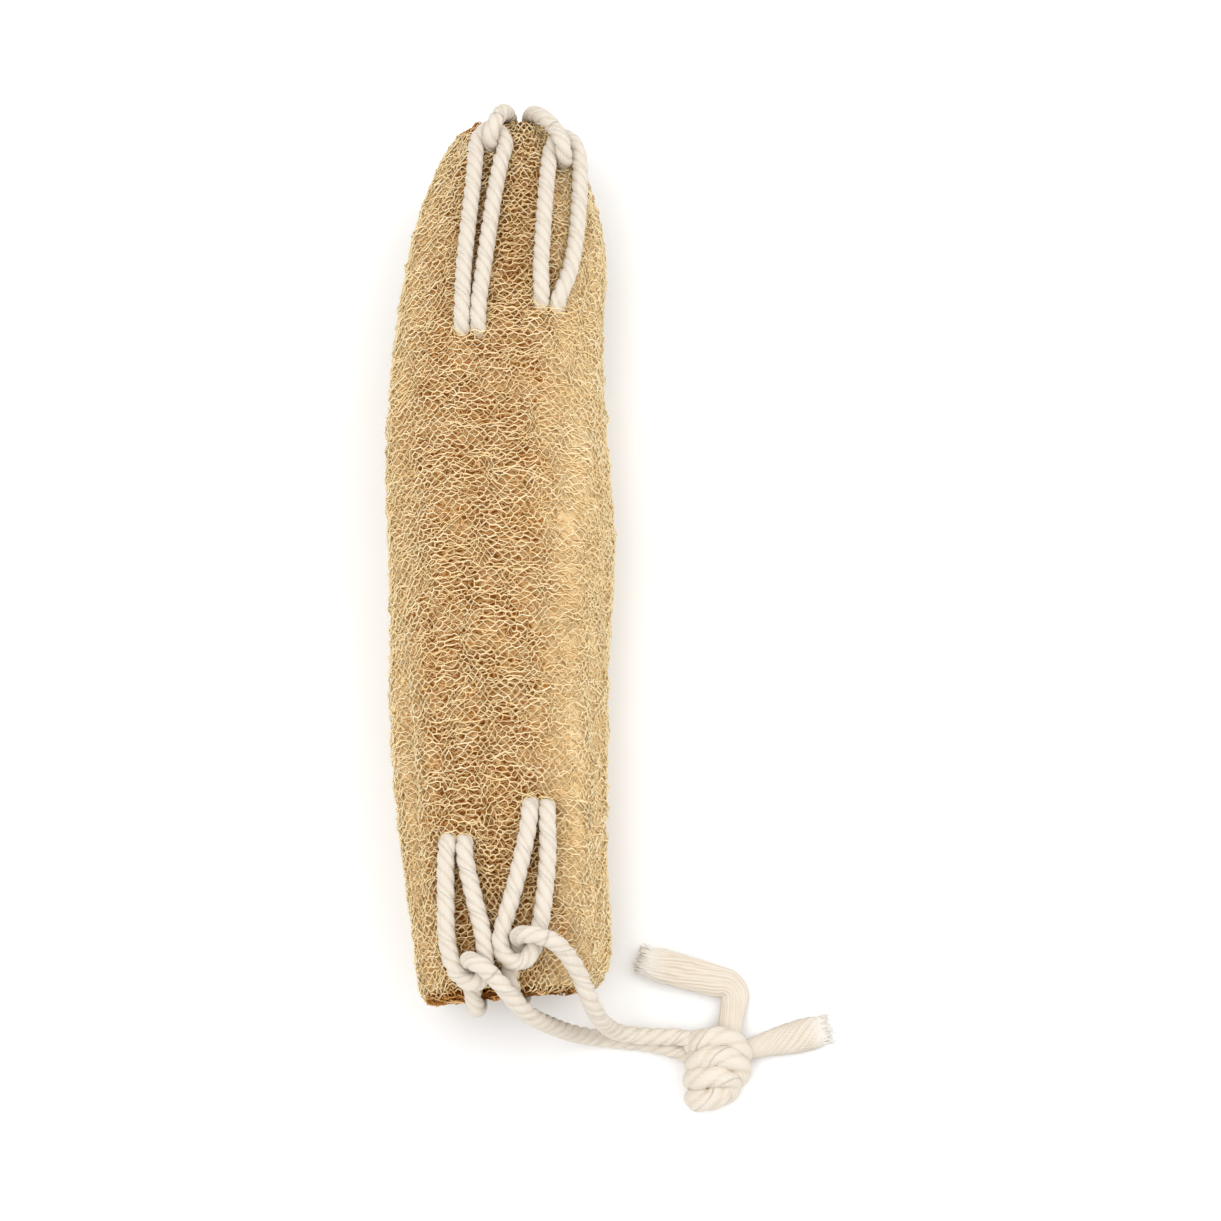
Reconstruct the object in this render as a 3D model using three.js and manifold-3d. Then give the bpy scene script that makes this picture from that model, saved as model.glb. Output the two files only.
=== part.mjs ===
// A natural loofah sponge with a twisted cotton rope threaded through each end.
// It lies on its side: +Y runs from the cut near end to the tapered far end, +Z is up.
// Millimetres throughout. The origin is under the middle of the sponge, on the surface it lies on.
import * as THREE from "three";
import { mergeVertices } from "three/addons/utils/BufferGeometryUtils.js";
import Module from "manifold-3d";

const wasm = await Module();
wasm.setup();

// Driving sizes of the sponge
const LENGTH = 334;
const HALF_LENGTH = LENGTH / 2;
const SECTION_POWER = 2.5; // how square the oval cross-section is
const NET_COLUMNS = 38; // net crossings and meshes round the sponge
const NET_ROWS = 84; // and along it
const STRAND_RISE = 0.5; // net strands above the mean surface
const MESH_DEPTH = 1.1; // net meshes below the mean surface
const NET_WANDER = 0.22; // how far a crossing strays, as a share of the spacing
const RIM_ROUNDING = 7; // length of each end over which the edge rounds off
const NEAR_SLANT = 2.6; // the near cut runs this much further out on the left, and short on the right
const NEAR_UNDERCUT = 0.17; // and slopes in by this share of the depth below its top edge
const CUT_FADE = 24; // length over which the net straightens out again behind the sloping cut

// Sponge stations from the near end to the far end:
// place along, sideways drift of the middle, half width, underside height, top height
const STATIONS = [
  [-167, 5.4, 30.0, 6, 44],
  [-150, 6.2, 33.6, 3, 47.5],
  [-110, 2.8, 36.0, -0.5, 52],
  [-64, 1.1, 38.0, -2.2, 54.5],
  [-5, 0.1, 41.0, -2.4, 56.5],
  [40, -1.8, 40.4, -2.0, 56.5],
  [80, -1.4, 39.3, 2.5, 56],
  [117, 1.4, 36.6, 10, 54.5],
  [137, 2.0, 32.3, 14.5, 53],
  [153, 2.6, 27.2, 17.5, 51],
  [167, 3.4, 21.5, 19.5, 48],
];

// Relief of the whole skin: ribs round it, long lumps, and creases as angle, start, end and depth
const RIBS = 9;
const RIB_RISE = 0.55;
const RIB_SWAY = 1.2; // radians a rib wanders round
const RIB_SWAY_LENGTH = 55;
const SHORT_LUMP = { rise: 0.5, length: 16, turns: 2 };
const LONG_LUMP = { rise: 0.4, length: 27, turns: -3 };
const CREASES = [
  [0.62, 60, 130, 2.2],
  [2.55, -125, -50, 2.0],
];
const CREASE_WIDTH = 0.13; // radians

// Rings of an end as inset from the cut and share of the section: the rounded rim and cut face
const RIM_RINGS = [
  [3.2, 0.985],
  [0.8, 0.94],
  [0, 0.86],
  [0.6, 0.68],
];
// The lip of the hollow likewise, then its wall as share of its depth and share of its section
const LIP_RINGS = [
  [1.6, 1.06],
  [5, 1],
];
const WALL_RINGS = [
  [0.3, 1],
  [0.55, 0.98],
  [0.8, 0.95],
  [0.94, 0.85],
  [0.985, 0.55],
];

// Hollow ends, where the seed chambers are open at the cut
const HOLLOW_WIDTH = 0.47; // of the half width
const HOLLOW_HEIGHT = 0.46; // of the half height
const LOBES = 3;
const LOBE_SWING = 0.12;
const NEAR_HOLLOW_DEPTH = 68;
const FAR_HOLLOW_DEPTH = 104;

// Driving sizes of the rope
const ROPE = 5.6; // three-strand cotton rope, mm across where it is drawn tight
const ROPE_SIDES = 8;
const HELD_STEP = 5; // one section of a held rope for every so many mm
const FREE_STEP = 9; // and of a free one
const CLEARANCE = 0.35; // between the rope and whatever it passes through
const SOCKET_RUN = 8; // how much of an arm's last stretch its socket in the knot is cut for
const SOCKET_ROOM = 0.56; // between the rope and the wall of its socket
const LONG_FRAY = 28; // untwisted length at the end of a long tail
const SHORT_FRAY = 15;
const FRAY_WIDTH = 11.4; // across an untwisted, frayed end, lying flat
const FRAY_HEIGHT = 5.6;
const BRUSH_ROOT = 4; // how far the frayed brush starts inside its rope
// Outline of a brush after its root: share of its half width, share of its length
const BRUSH_OUTLINE = [
  [0.5, 0],
  [0.85, 0.25],
  [1, 0.7],
  [0.94, 1],
];
const BRUSH_SIDES = 10;

// Rope routes, as x, y, z of the rope's middle. Each rope is one length, held by the sponge between
// the tops of its two humps and free from there to its knot.
const NEAR_HELD = [
  [0.4, -160.7, 57.2],
  [-1.4, -159.0, 58.2],
  [-4.6, -157.0, 57.8],
  [-6.9, -155.6, 54.8],
  [-7.4, -155.4, 51.0],
  [-7.3, -158.2, 46.8],
  [-6.8, -162.2, 45.2],
  [-6.1, -166.0, 43.4],
  [-5.2, -168.9, 39.0],
  [-4.9, -168.2, 33.4],
  [-4.9, -163.6, 29.4],
  [-5.3, -150.0, 27.4],
  [-7.0, -132.0, 27.8],
  [-10.5, -119.5, 31.5],
  [-14.2, -113.8, 39.6],
  [-15.2, -113.0, 46.8],
  [-15.4, -114.6, 51.6],
  [-15.6, -118.0, 53.3],
  [-15.8, -122.5, 53.0],
  [-15.5, -134.3, 52.2],
  [-15.1, -146.5, 50.6],
  [-13.6, -154.0, 50.4],
  [-10.4, -160.2, 51.0],
  [-5.6, -162.9, 51.6],
  [-2.3, -160.4, 51.6],
  [-1.7, -154.4, 51.6],
  [-2.8, -145.6, 52.0],
  [-5.7, -134.5, 52.8],
  [-8.4, -123.6, 53.4],
  [-9.4, -118.4, 53.5],
  [-9.6, -115.0, 51.9],
  [-9.4, -113.0, 47.2],
  [-8.0, -111.4, 40.6],
  [-1.0, -107.5, 34.8],
  [6.0, -104.3, 35.4],
  [11.4, -101.8, 41.0],
  [12.8, -100.4, 48.0],
  [12.9, -102.2, 53.4],
  [12.8, -105.6, 55.1],
  [12.2, -110.8, 55.2],
  [9.4, -124.5, 54.8],
  [6.8, -134.8, 54.0],
  [4.0, -144.6, 52.8],
  [3.4, -149.6, 52.6],
  [5.4, -154.2, 52.8],
  [9.6, -156.0, 53.0],
  [13.6, -153.2, 53.0],
  [15.4, -148.0, 52.4],
  [16.9, -142.0, 51.8],
  [18.3, -131.0, 52.6],
  [19.2, -117.0, 53.2],
  [18.9, -107.0, 54.0],
  [18.7, -102.8, 52.6],
  [18.5, -100.6, 47.4],
  [17.6, -101.0, 41.4],
  [15.0, -104.4, 34.4],
  [13.2, -114.0, 28.8],
  [12.4, -135.0, 27.0],
  [11.2, -155.0, 27.2],
  [10.2, -164.0, 29.4],
  [9.6, -167.0, 33.4],
  [8.6, -167.0, 39.0],
  [7.4, -164.2, 43.2],
  [6.4, -160.6, 45.4],
  [6.8, -156.0, 46.0],
  [8.4, -151.0, 46.8],
  [9.4, -147.9, 50.6],
  [9.6, -147.3, 54.8],
  [11.6, -147.4, 58.2],
  [15.2, -147.8, 59.4],
  [18.2, -148.6, 58.8],
];
const NEAR_LEFT_ARM = [
  [0.7, -161.0, 57.0],
  [3.6, -163.7, 55.4],
  [8.2, -168.4, 49.6],
  [13.2, -172.0, 40.5],
  [19.4, -173.2, 27.0],
  [26.0, -174.0, 15.0],
  [33.0, -174.4, 6.6],
  [41.0, -174.9, 3.4],
  [54.7, -176.4, 3.1],
  [62.5, -178.4, 4.0],
  [69.5, -180.8, 5.4],
];
const NEAR_RIGHT_ARM = [
  [18.6, -148.7, 58.7],
  [21.4, -149.7, 57.8],
  [25.2, -152.6, 54.0],
  [29.4, -158.0, 48.2],
  [32.8, -165.0, 42.4],
  [36.2, -170.6, 32.0],
  [39.4, -172.6, 20.0],
  [43.5, -173.6, 11.8],
  [50.5, -174.4, 9.2],
  [58.5, -174.8, 9.2],
  [65.0, -174.8, 8.8],
  [72.0, -176.6, 8.0],
];
const NEAR_LONG_TAIL = [
  [82.6, -175.0, 6.2],
  [83.4, -169.0, 4.6],
  [84.6, -163.2, 3.3],
  [85.1, -158.6, 3.1],
  [82.6, -155.2, 3.1],
  [78.4, -154.0, 3.1],
];
const NEAR_SHORT_TAIL = [
  [84.6, -180.4, 5.6],
  [90.8, -178.2, 4.2],
  [97.4, -176.2, 3.2],
  [103.2, -174.8, 3.1],
];
const FAR_HELD = [
  [-2.3, 161.6, 57.9],
  [-3.2, 159.0, 58.8],
  [-4.2, 156.2, 57.8],
  [-4.6, 154.6, 54.6],
  [-4.5, 155.2, 50.4],
  [-4.4, 158.4, 47.4],
  [-4.2, 162.6, 46.8],
  [-3.8, 166.2, 44.6],
  [-3.2, 167.2, 40.4],
  [-2.2, 164.6, 36.2],
  [-0.6, 158.0, 33.6],
  [-2.0, 140.0, 32.4],
  [-5.0, 110.0, 32.0],
  [-9.0, 86.0, 34.6],
  [-12.4, 77.6, 41.0],
  [-13.6, 76.0, 49.0],
  [-13.7, 79.0, 56.4],
  [-13.6, 86.0, 59.0],
  [-13.4, 99.6, 58.2],
  [-12.3, 116.3, 57.2],
  [-10.9, 133.2, 56.2],
  [-10.1, 146.3, 55.0],
  [-9.8, 153.6, 53.6],
  [-8.0, 158.8, 52.8],
  [-4.4, 161.0, 52.8],
  [-0.8, 158.8, 52.8],
  [1.0, 153.6, 53.6],
  [-0.4, 146.2, 55.0],
  [-2.4, 133.0, 56.4],
  [-4.4, 116.2, 57.4],
  [-6.2, 99.6, 58.2],
  [-7.6, 86.0, 59.0],
  [-7.8, 79.2, 56.6],
  [-6.8, 76.2, 49.4],
  [-3.2, 76.8, 42.0],
  [2.0, 79.0, 38.4],
  [8.4, 82.6, 39.6],
  [13.6, 86.0, 45.4],
  [15.3, 86.6, 52.0],
  [15.4, 90.6, 58.2],
  [15.1, 99.1, 58.8],
  [15.7, 115.6, 58.2],
  [16.6, 133.0, 56.4],
  [17.4, 145.2, 53.8],
  [18.2, 151.6, 52.4],
  [20.2, 156.4, 51.6],
  [24.0, 158.2, 51.0],
  [27.8, 154.4, 49.6],
  [29.1, 147.2, 48.8],
  [29.2, 139.4, 49.8],
  [28.9, 131.6, 50.8],
  [27.8, 114.6, 52.8],
  [25.2, 98.9, 55.4],
  [21.9, 89.4, 56.4],
  [20.4, 85.6, 50.6],
  [18.2, 85.6, 43.0],
  [14.6, 90.4, 36.4],
  [12.0, 104.0, 33.2],
  [10.6, 130.0, 33.0],
  [9.8, 152.0, 34.0],
  [10.8, 161.0, 35.4],
  [13.4, 166.4, 38.6],
  [16.6, 166.8, 42.2],
  [20.2, 163.0, 44.2],
  [22.8, 157.8, 45.0],
  [23.4, 152.4, 45.8],
  [23.4, 149.2, 49.2],
  [23.3, 148.8, 53.6],
  [22.9, 151.2, 56.8],
  [21.4, 155.2, 57.6],
  [19.5, 158.8, 56.6],
];
const FAR_LEFT_ARM = [
  [-2.1, 162.2, 57.7],
  [-1.2, 164.6, 56.6],
  [0.4, 168.2, 52.4],
  [1.6, 170.6, 45.0],
  [2.4, 171.2, 34.0],
  [2.6, 171.4, 20.0],
  [2.6, 170.0, 9.0],
  [2.6, 164.8, 3.4],
  [2.6, 157.0, 3.4],
  [2.7, 152.0, 4.6],
];
const FAR_RIGHT_ARM = [
  [19.3, 159.1, 56.5],
  [17.2, 162.6, 55.2],
  [14.4, 166.2, 52.6],
  [11.8, 169.2, 49.2],
  [10.2, 171.0, 44.4],
  [9.4, 171.6, 34.0],
  [9.2, 171.6, 20.0],
  [9.2, 170.0, 9.0],
  [9.2, 164.6, 3.4],
  [9.2, 157.0, 3.6],
  [9.0, 152.0, 4.8],
];
const FAR_LONG_TAIL = [
  [3.4, 140.4, 5.2],
  [1.6, 133.6, 3.4],
  [-1.0, 128.0, 3.1],
  [-4.4, 122.6, 3.1],
];
const FAR_SHORT_TAIL = [
  [8.6, 141.2, 5.2],
  [11.6, 135.0, 3.4],
  [14.4, 131.0, 3.1],
];

// Knots: middle and half sizes of the balls that each is made of
const NEAR_KNOT = [
  [78.4, -178.6, 6.9, 12.2, 9.8, 6.8],
  [76.2, -188.8, 6.3, 10.2, 12.2, 6.2],
];
const FAR_KNOT = [
  [5.8, 149.4, 6.2, 9.6, 7.2, 6.1],
  [5.4, 142.0, 5.6, 8.6, 7.4, 5.5],
];
const KNOT_SIDES = 12;
const KNOT_RINGS = 8;

const colours = {
  loofah: "#d9b57c",
  rope: "#efe5d4",
};

// Seeded random numbers in 0 to 1
function seeded(seed) {
  let state = seed >>> 0;
  return () => {
    state = (Math.imul(state, 1664525) + 1013904223) >>> 0;
    return state / 4294967296;
  };
}

// Smooth value of one station column at a place along the sponge, by cubic pieces
function along(column, y) {
  const last = STATIONS.length - 1;
  const at = Math.min(Math.max(y, -HALF_LENGTH), HALF_LENGTH);
  let k = 0;
  while (k < last - 1 && at > STATIONS[k + 1][0]) k += 1;
  const slope = (i) => {
    const a = STATIONS[Math.max(i - 1, 0)];
    const b = STATIONS[Math.min(i + 1, last)];
    return (b[column] - a[column]) / (b[0] - a[0]);
  };
  const [p, q] = [STATIONS[k], STATIONS[k + 1]];
  const h = q[0] - p[0];
  const t = (at - p[0]) / h;
  return (
    (2 * t ** 3 - 3 * t ** 2 + 1) * p[column] +
    (t ** 3 - 2 * t ** 2 + t) * h * slope(k) +
    (3 * t ** 2 - 2 * t ** 3) * q[column] +
    (t ** 3 - t ** 2) * h * slope(k + 1)
  );
}

// How far the ribs and shallow lengthwise creases move the surface out or in
function swell(angle, y) {
  const sway = RIB_SWAY * Math.sin(y / RIB_SWAY_LENGTH);
  const ribs = RIB_RISE * Math.cos(RIBS * angle + sway);
  const [short, long] = [SHORT_LUMP, LONG_LUMP];
  const lumps =
    short.rise * Math.sin(y / short.length + short.turns * angle) +
    long.rise * Math.sin(y / long.length + long.turns * angle + 1);
  let creases = 0;
  for (const [where, from, to, depth] of CREASES) {
    const across = Math.exp(-(((angle - where) / CREASE_WIDTH) ** 2));
    const lengthwise = Math.exp(-(((y - (from + to) / 2) / ((to - from) / 2)) ** 4));
    creases -= depth * across * lengthwise;
  }
  return ribs + lumps + creases;
}

// A point of the oval section at a place along, scaled about its middle and moved out by a rise
function onSection(angle, y, scaleX, scaleZ, rise) {
  const [drift, half, under, top] = [1, 2, 3, 4].map((c) => along(c, y));
  const round = (v) => Math.sign(v) * Math.abs(v) ** (2 / SECTION_POWER);
  const high = (top - under) / 2;
  const [c, s] = [Math.cos(angle), Math.sin(angle)];
  return new THREE.Vector3(
    drift + (half * scaleX + rise) * round(c),
    y,
    (top + under) / 2 + (high * scaleZ + rise) * round(s),
  );
}

// Leans the near end of the net to follow its sloping cut
function leanNearEnd(point, inset) {
  const sideways = NEAR_SLANT * (point.x / along(2, point.y));
  const below = NEAR_UNDERCUT * (along(4, point.y) - point.z);
  point.y += (sideways + below) * Math.exp(-inset / CUT_FADE);
}

// Outer skin of the sponge: a net of raised strands round sunken meshes
function netRow(row, rows, wander) {
  const spacing = (LENGTH - 2 * RIM_ROUNDING) / rows;
  const points = [];
  for (let column = 0; column < NET_COLUMNS; column += 1) {
    const isStrand = (row + column) % 2 === 0;
    const edge = row === 0 || row === rows;
    const stray = edge ? 0 : NET_WANDER;
    const angle = ((column + stray * (wander() * 2 - 1)) / NET_COLUMNS) * 2 * Math.PI;
    const y = -HALF_LENGTH + RIM_ROUNDING + (row + stray * (wander() * 2 - 1)) * spacing;
    const relief = edge ? 0 : isStrand ? STRAND_RISE : -MESH_DEPTH;
    const point = onSection(angle, y, 1, 1, relief + swell(angle, y));
    leanNearEnd(point, y + HALF_LENGTH);
    point.z = Math.max(point.z, 0);
    points.push(point);
  }
  return points;
}

// One ring of an end: the rounded rim, the cut face or the wall of the hollow
function endRing(end, inset, shrink, hollow) {
  const points = [];
  const y = end * (HALF_LENGTH - inset);
  for (let column = 0; column < NET_COLUMNS; column += 1) {
    const angle = (column / NET_COLUMNS) * 2 * Math.PI;
    const lobed = 1 + LOBE_SWING * Math.cos(LOBES * angle + Math.PI / 2);
    const scaleX = hollow ? HOLLOW_WIDTH * lobed * shrink : shrink;
    const scaleZ = hollow ? HOLLOW_HEIGHT * lobed * shrink : shrink;
    const rise = hollow ? 0 : swell(angle, y) * shrink;
    const point = onSection(angle, y, scaleX, scaleZ, rise);
    if (end < 0) leanNearEnd(point, inset);
    point.z = Math.max(point.z, 0);
    points.push(point);
  }
  return points;
}

// The rings of one end, from the skin inwards
function endRings(end, depth) {
  const wall = WALL_RINGS.map(([share, shrink]) => [share * depth, shrink]);
  const rim = RIM_RINGS.map(([inset, shrink]) => endRing(end, inset, shrink, false));
  const hollow = [...LIP_RINGS, ...wall].map(([inset, shrink]) => endRing(end, inset, shrink, true));
  return [...rim, ...hollow];
}

// Closes a list of rings into one solid, with a point at each end
function closedRings(rings, first, last, splitBySteps) {
  const columns = rings[0].length;
  const points = [first, ...rings.flat(), last];
  const index = [];
  const at = (r, c) => 1 + r * columns + (c % columns);
  for (let c = 0; c < columns; c += 1) index.push(0, at(0, c), at(0, c + 1));
  for (let r = 0; r < rings.length - 1; r += 1) {
    for (let c = 0; c < columns; c += 1) {
      const [a, b, d, e] = [at(r, c), at(r, c + 1), at(r + 1, c + 1), at(r + 1, c)];
      if (splitBySteps(r, c)) index.push(a, d, b, a, e, d);
      else index.push(a, e, b, b, e, d);
    }
  }
  const top = points.length - 1;
  const end = rings.length - 1;
  for (let c = 0; c < columns; c += 1) index.push(top, at(end, c + 1), at(end, c));
  const geometry = new THREE.BufferGeometry();
  geometry.setAttribute(
    "position",
    new THREE.Float32BufferAttribute(points.flatMap((p) => p.toArray()), 3),
  );
  geometry.setIndex(index);
  return geometry;
}

// A geometry as a solid for cutting
function solidOf(geometry) {
  const plain = geometry.clone();
  plain.deleteAttribute("normal");
  plain.deleteAttribute("uv");
  const merged = mergeVertices(plain, 1e-4);
  return new wasm.Manifold(
    new wasm.Mesh({
      numProp: 3,
      vertProperties: merged.attributes.position.array,
      triVerts: new Uint32Array(merged.index.array),
    }),
  );
}

// A cut solid back as a geometry
function geometryOf(solid) {
  const mesh = solid.getMesh();
  const geometry = new THREE.BufferGeometry();
  geometry.setAttribute("position", new THREE.BufferAttribute(mesh.vertProperties, 3));
  geometry.setIndex(new THREE.BufferAttribute(mesh.triVerts, 1));
  geometry.computeVertexNormals();
  return geometry;
}

// The sponge before its rope holes are made
function spongeBody() {
  const wander = seeded(41);
  const skin = [];
  for (let row = 0; row <= NET_ROWS; row += 1) skin.push(netRow(row, NET_ROWS, wander));
  const near = endRings(-1, NEAR_HOLLOW_DEPTH).reverse();
  const far = endRings(1, FAR_HOLLOW_DEPTH);
  const middle = (end, depth) => onSection(0, end * (HALF_LENGTH - depth), 0, 0, 0);
  const shift = near.length;
  return closedRings(
    [...near, ...skin, ...far],
    middle(-1, NEAR_HOLLOW_DEPTH),
    middle(1, FAR_HOLLOW_DEPTH),
    (r, c) => (r - shift + c) % 2 === 0,
  );
}

// A round polygon to carry along a rope's route
function ropeSection(across) {
  const section = new THREE.Shape();
  for (let side = 0; side < ROPE_SIDES; side += 1) {
    const angle = ((side + 0.5) / ROPE_SIDES) * 2 * Math.PI;
    const [x, y] = [(across / 2) * Math.cos(angle), (across / 2) * Math.sin(angle)];
    if (side === 0) section.moveTo(x, y);
    else section.lineTo(x, y);
  }
  section.closePath();
  return section;
}

function curveOf(route) {
  return new THREE.CatmullRomCurve3(route.map((p) => new THREE.Vector3(...p)), false, "centripetal");
}

// A rope along its route
function ropeAlong(route, across, step) {
  const extrudePath = curveOf(route);
  const steps = Math.round(extrudePath.getLength() / step);
  return new THREE.ExtrudeGeometry(ropeSection(across), { steps, bevelEnabled: false, extrudePath });
}

// The straight hole that takes one end of a rope, a little wider and deeper than the rope
function socket(route, atStart) {
  const curve = curveOf(route);
  const end = curve.getPoint(atStart ? 0 : 1);
  const out = curve.getTangent(atStart ? 0 : 1).multiplyScalar(atStart ? 1 : -1);
  const radius = ROPE / 2 + SOCKET_ROOM;
  const bore = new THREE.CylinderGeometry(radius, radius, SOCKET_RUN, ROPE_SIDES);
  bore.applyQuaternion(new THREE.Quaternion().setFromUnitVectors(new THREE.Vector3(0, 1, 0), out));
  bore.translate(...end.addScaledVector(out, SOCKET_RUN / 2 - CLEARANCE).toArray());
  return solidOf(bore);
}

// A knot as the outer shape of its turns, with a hole for each rope end that goes into it
function knot(balls, arms, tails) {
  const ballSolids = balls.map(([x, y, z, halfX, halfY, halfZ]) => {
    const ball = new THREE.SphereGeometry(1, KNOT_SIDES, KNOT_RINGS);
    ball.rotateX(Math.PI / 2);
    ball.scale(halfX, halfY, halfZ);
    ball.translate(x, y, z);
    return solidOf(ball);
  });
  let body = ballSolids.reduce((whole, ball) => whole.add(ball));
  for (const arm of arms) body = body.subtract(socket(arm, false));
  for (const tail of tails) body = body.subtract(socket(tail, true));
  return geometryOf(body);
}

// A tail: a short rope that opens into a flat brush of cotton
function tailWithFray(route, frayLength) {
  const curve = curveOf(route);
  const outline = BRUSH_OUTLINE.map(([share, place]) => [share, place * frayLength]);
  const [rootShare] = BRUSH_OUTLINE[0];
  const profile = [[0, -BRUSH_ROOT], [rootShare, -BRUSH_ROOT], ...outline, [0, frayLength]].map(
    ([share, height]) => new THREE.Vector2((share * FRAY_HEIGHT) / 2, height),
  );
  const brush = new THREE.LatheGeometry(profile, BRUSH_SIDES);
  const spread = new THREE.Matrix4().makeScale(FRAY_WIDTH / FRAY_HEIGHT, 1, 1);
  brush.applyMatrix4(spread);
  const forward = curve.getTangent(1).setZ(0).normalize();
  const across = new THREE.Vector3(forward.y, -forward.x, 0);
  const up = new THREE.Vector3(0, 0, 1);
  brush.applyMatrix4(new THREE.Matrix4().makeBasis(across, forward, up));
  brush.translate(...curve.getPoint(1).toArray());
  return geometryOf(solidOf(ropeAlong(route, ROPE, HELD_STEP)).add(solidOf(brush)));
}

// The sponge with the rope's holes, and the notches where the rope bites into it
function threadedSponge() {
  let sponge = solidOf(spongeBody());
  for (const route of [NEAR_HELD, FAR_HELD]) {
    sponge = sponge.subtract(solidOf(ropeAlong(route, ROPE + 2 * CLEARANCE, HELD_STEP)));
  }
  const bodies = sponge.decompose();
  return bodies.reduce((largest, body) => (body.volume() > largest.volume() ? body : largest));
}

const parts = new THREE.Group();

function add(name, geometry, material) {
  const mesh = new THREE.Mesh(geometry, material);
  mesh.name = name;
  parts.add(mesh);
}

const loofahFibre = new THREE.MeshStandardMaterial({
  name: "loofah_fibre",
  color: colours.loofah,
  roughness: 0.85,
  metalness: 0,
});

function cottonRope() {
  return new THREE.MeshStandardMaterial({
    name: "cotton_rope",
    color: colours.rope,
    roughness: 0.9,
    metalness: 0,
  });
}

// One end's rope: the threaded length, two free arms, the knot and its two tails
function addRope({ end, held, leftArm, rightArm, balls, longTail, longFray, shortTail }) {
  add(`${end}_rope_threaded`, ropeAlong(held, ROPE, HELD_STEP), cottonRope());
  add(`${end}_rope_left_arm`, ropeAlong(leftArm, ROPE, FREE_STEP), cottonRope());
  add(`${end}_rope_right_arm`, ropeAlong(rightArm, ROPE, FREE_STEP), cottonRope());
  add(`${end}_rope_knot`, knot(balls, [leftArm, rightArm], [longTail, shortTail]), cottonRope());
  add(`${end}_rope_long_tail`, tailWithFray(longTail, longFray), cottonRope());
  add(`${end}_rope_short_tail`, tailWithFray(shortTail, SHORT_FRAY), cottonRope());
}

add("loofah", geometryOf(threadedSponge()), loofahFibre);
addRope({
  end: "near",
  held: NEAR_HELD,
  leftArm: NEAR_LEFT_ARM,
  rightArm: NEAR_RIGHT_ARM,
  balls: NEAR_KNOT,
  longTail: NEAR_LONG_TAIL,
  longFray: LONG_FRAY,
  shortTail: NEAR_SHORT_TAIL,
});
addRope({
  end: "far",
  held: FAR_HELD,
  leftArm: FAR_LEFT_ARM,
  rightArm: FAR_RIGHT_ARM,
  balls: FAR_KNOT,
  longTail: FAR_LONG_TAIL,
  longFray: SHORT_FRAY,
  shortTail: FAR_SHORT_TAIL,
});

export default parts;
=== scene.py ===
"""A natural loofah sponge with a twisted cotton rope threaded through each end.

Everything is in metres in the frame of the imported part: +Y runs along the sponge from its cut near
end to its tapered far end, and +Z is up from the surface that it lies on.
"""

import math

import bpy
import numpy as np
from bpy.props import FloatProperty, FloatVectorProperty, PointerProperty
from bpy.types import Operator, Panel, PropertyGroup
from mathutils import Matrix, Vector


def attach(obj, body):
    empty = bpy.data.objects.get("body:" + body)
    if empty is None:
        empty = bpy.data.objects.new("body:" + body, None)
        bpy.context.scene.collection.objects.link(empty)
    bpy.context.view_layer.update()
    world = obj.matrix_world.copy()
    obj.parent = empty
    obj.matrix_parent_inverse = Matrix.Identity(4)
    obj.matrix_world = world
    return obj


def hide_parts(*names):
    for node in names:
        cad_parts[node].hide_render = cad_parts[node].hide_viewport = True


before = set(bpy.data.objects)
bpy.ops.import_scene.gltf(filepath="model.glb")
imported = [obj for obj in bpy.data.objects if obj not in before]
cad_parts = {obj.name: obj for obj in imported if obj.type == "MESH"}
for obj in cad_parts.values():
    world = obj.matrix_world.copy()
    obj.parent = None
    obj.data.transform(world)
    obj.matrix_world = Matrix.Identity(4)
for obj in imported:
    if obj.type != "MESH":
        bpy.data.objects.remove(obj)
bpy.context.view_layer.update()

bl_info = {
    "name": "Loofah sponge with rope handles",
    "version": (1, 0, 0),
    "blender": (4, 5, 0),
    "location": "3D View > Sidebar > Loofah",
    "description": "Builds the fibre net and the cotton ropes of a natural loofah sponge",
    "category": "Add Mesh",
}

TURN = 2 * math.pi

# Camera, as the photograph was taken
CAMERA_TARGET = (0.0407, -0.0227, 0.028)
CAMERA_ELEVATION = math.radians(72)
CAMERA_DISTANCE = 0.9
FOCAL_OVER_WIDTH = 2.0211
SENSOR_WIDTH = 36.0

# Floor and light: half width and drop of the floor, its grey, then place, size and power of each lamp
FLOOR_HALF = 3.0
FLOOR_DROP = 0.0002
FLOOR_GREY = 0.93
LAMPS = {
    "key": ((-0.45, -0.40, 1.30), 1.0, 8.0),
    "fill": ((0.90, 0.30, 1.10), 1.2, 6.5),
}
ROOM_LIGHT = 0.90

# The sponge's outer form: place along, sideways drift of the middle, half width, underside and top
HALF_LENGTH = 0.167
SECTION_POWER = 2.5
STATIONS = np.array([
    (-0.167, 0.0054, 0.0300, 0.0060, 0.0440),
    (-0.150, 0.0062, 0.0336, 0.0030, 0.0475),
    (-0.110, 0.0028, 0.0360, -0.0005, 0.0520),
    (-0.064, 0.0011, 0.0380, -0.0022, 0.0545),
    (-0.005, 0.0001, 0.0410, -0.0024, 0.0565),
    (0.040, -0.0018, 0.0404, -0.0020, 0.0565),
    (0.080, -0.0014, 0.0393, 0.0025, 0.0560),
    (0.117, 0.0014, 0.0366, 0.0100, 0.0545),
    (0.137, 0.0020, 0.0323, 0.0145, 0.0530),
    (0.153, 0.0026, 0.0272, 0.0175, 0.0510),
    (0.167, 0.0034, 0.0215, 0.0195, 0.0480),
])
MID_SECTION = (0.041, 0.0295)
RIM_ROUNDING = 0.007
NEAR_SLANT = 0.0026
NEAR_UNDERCUT = 0.17
CUT_FADE = 0.024
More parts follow.
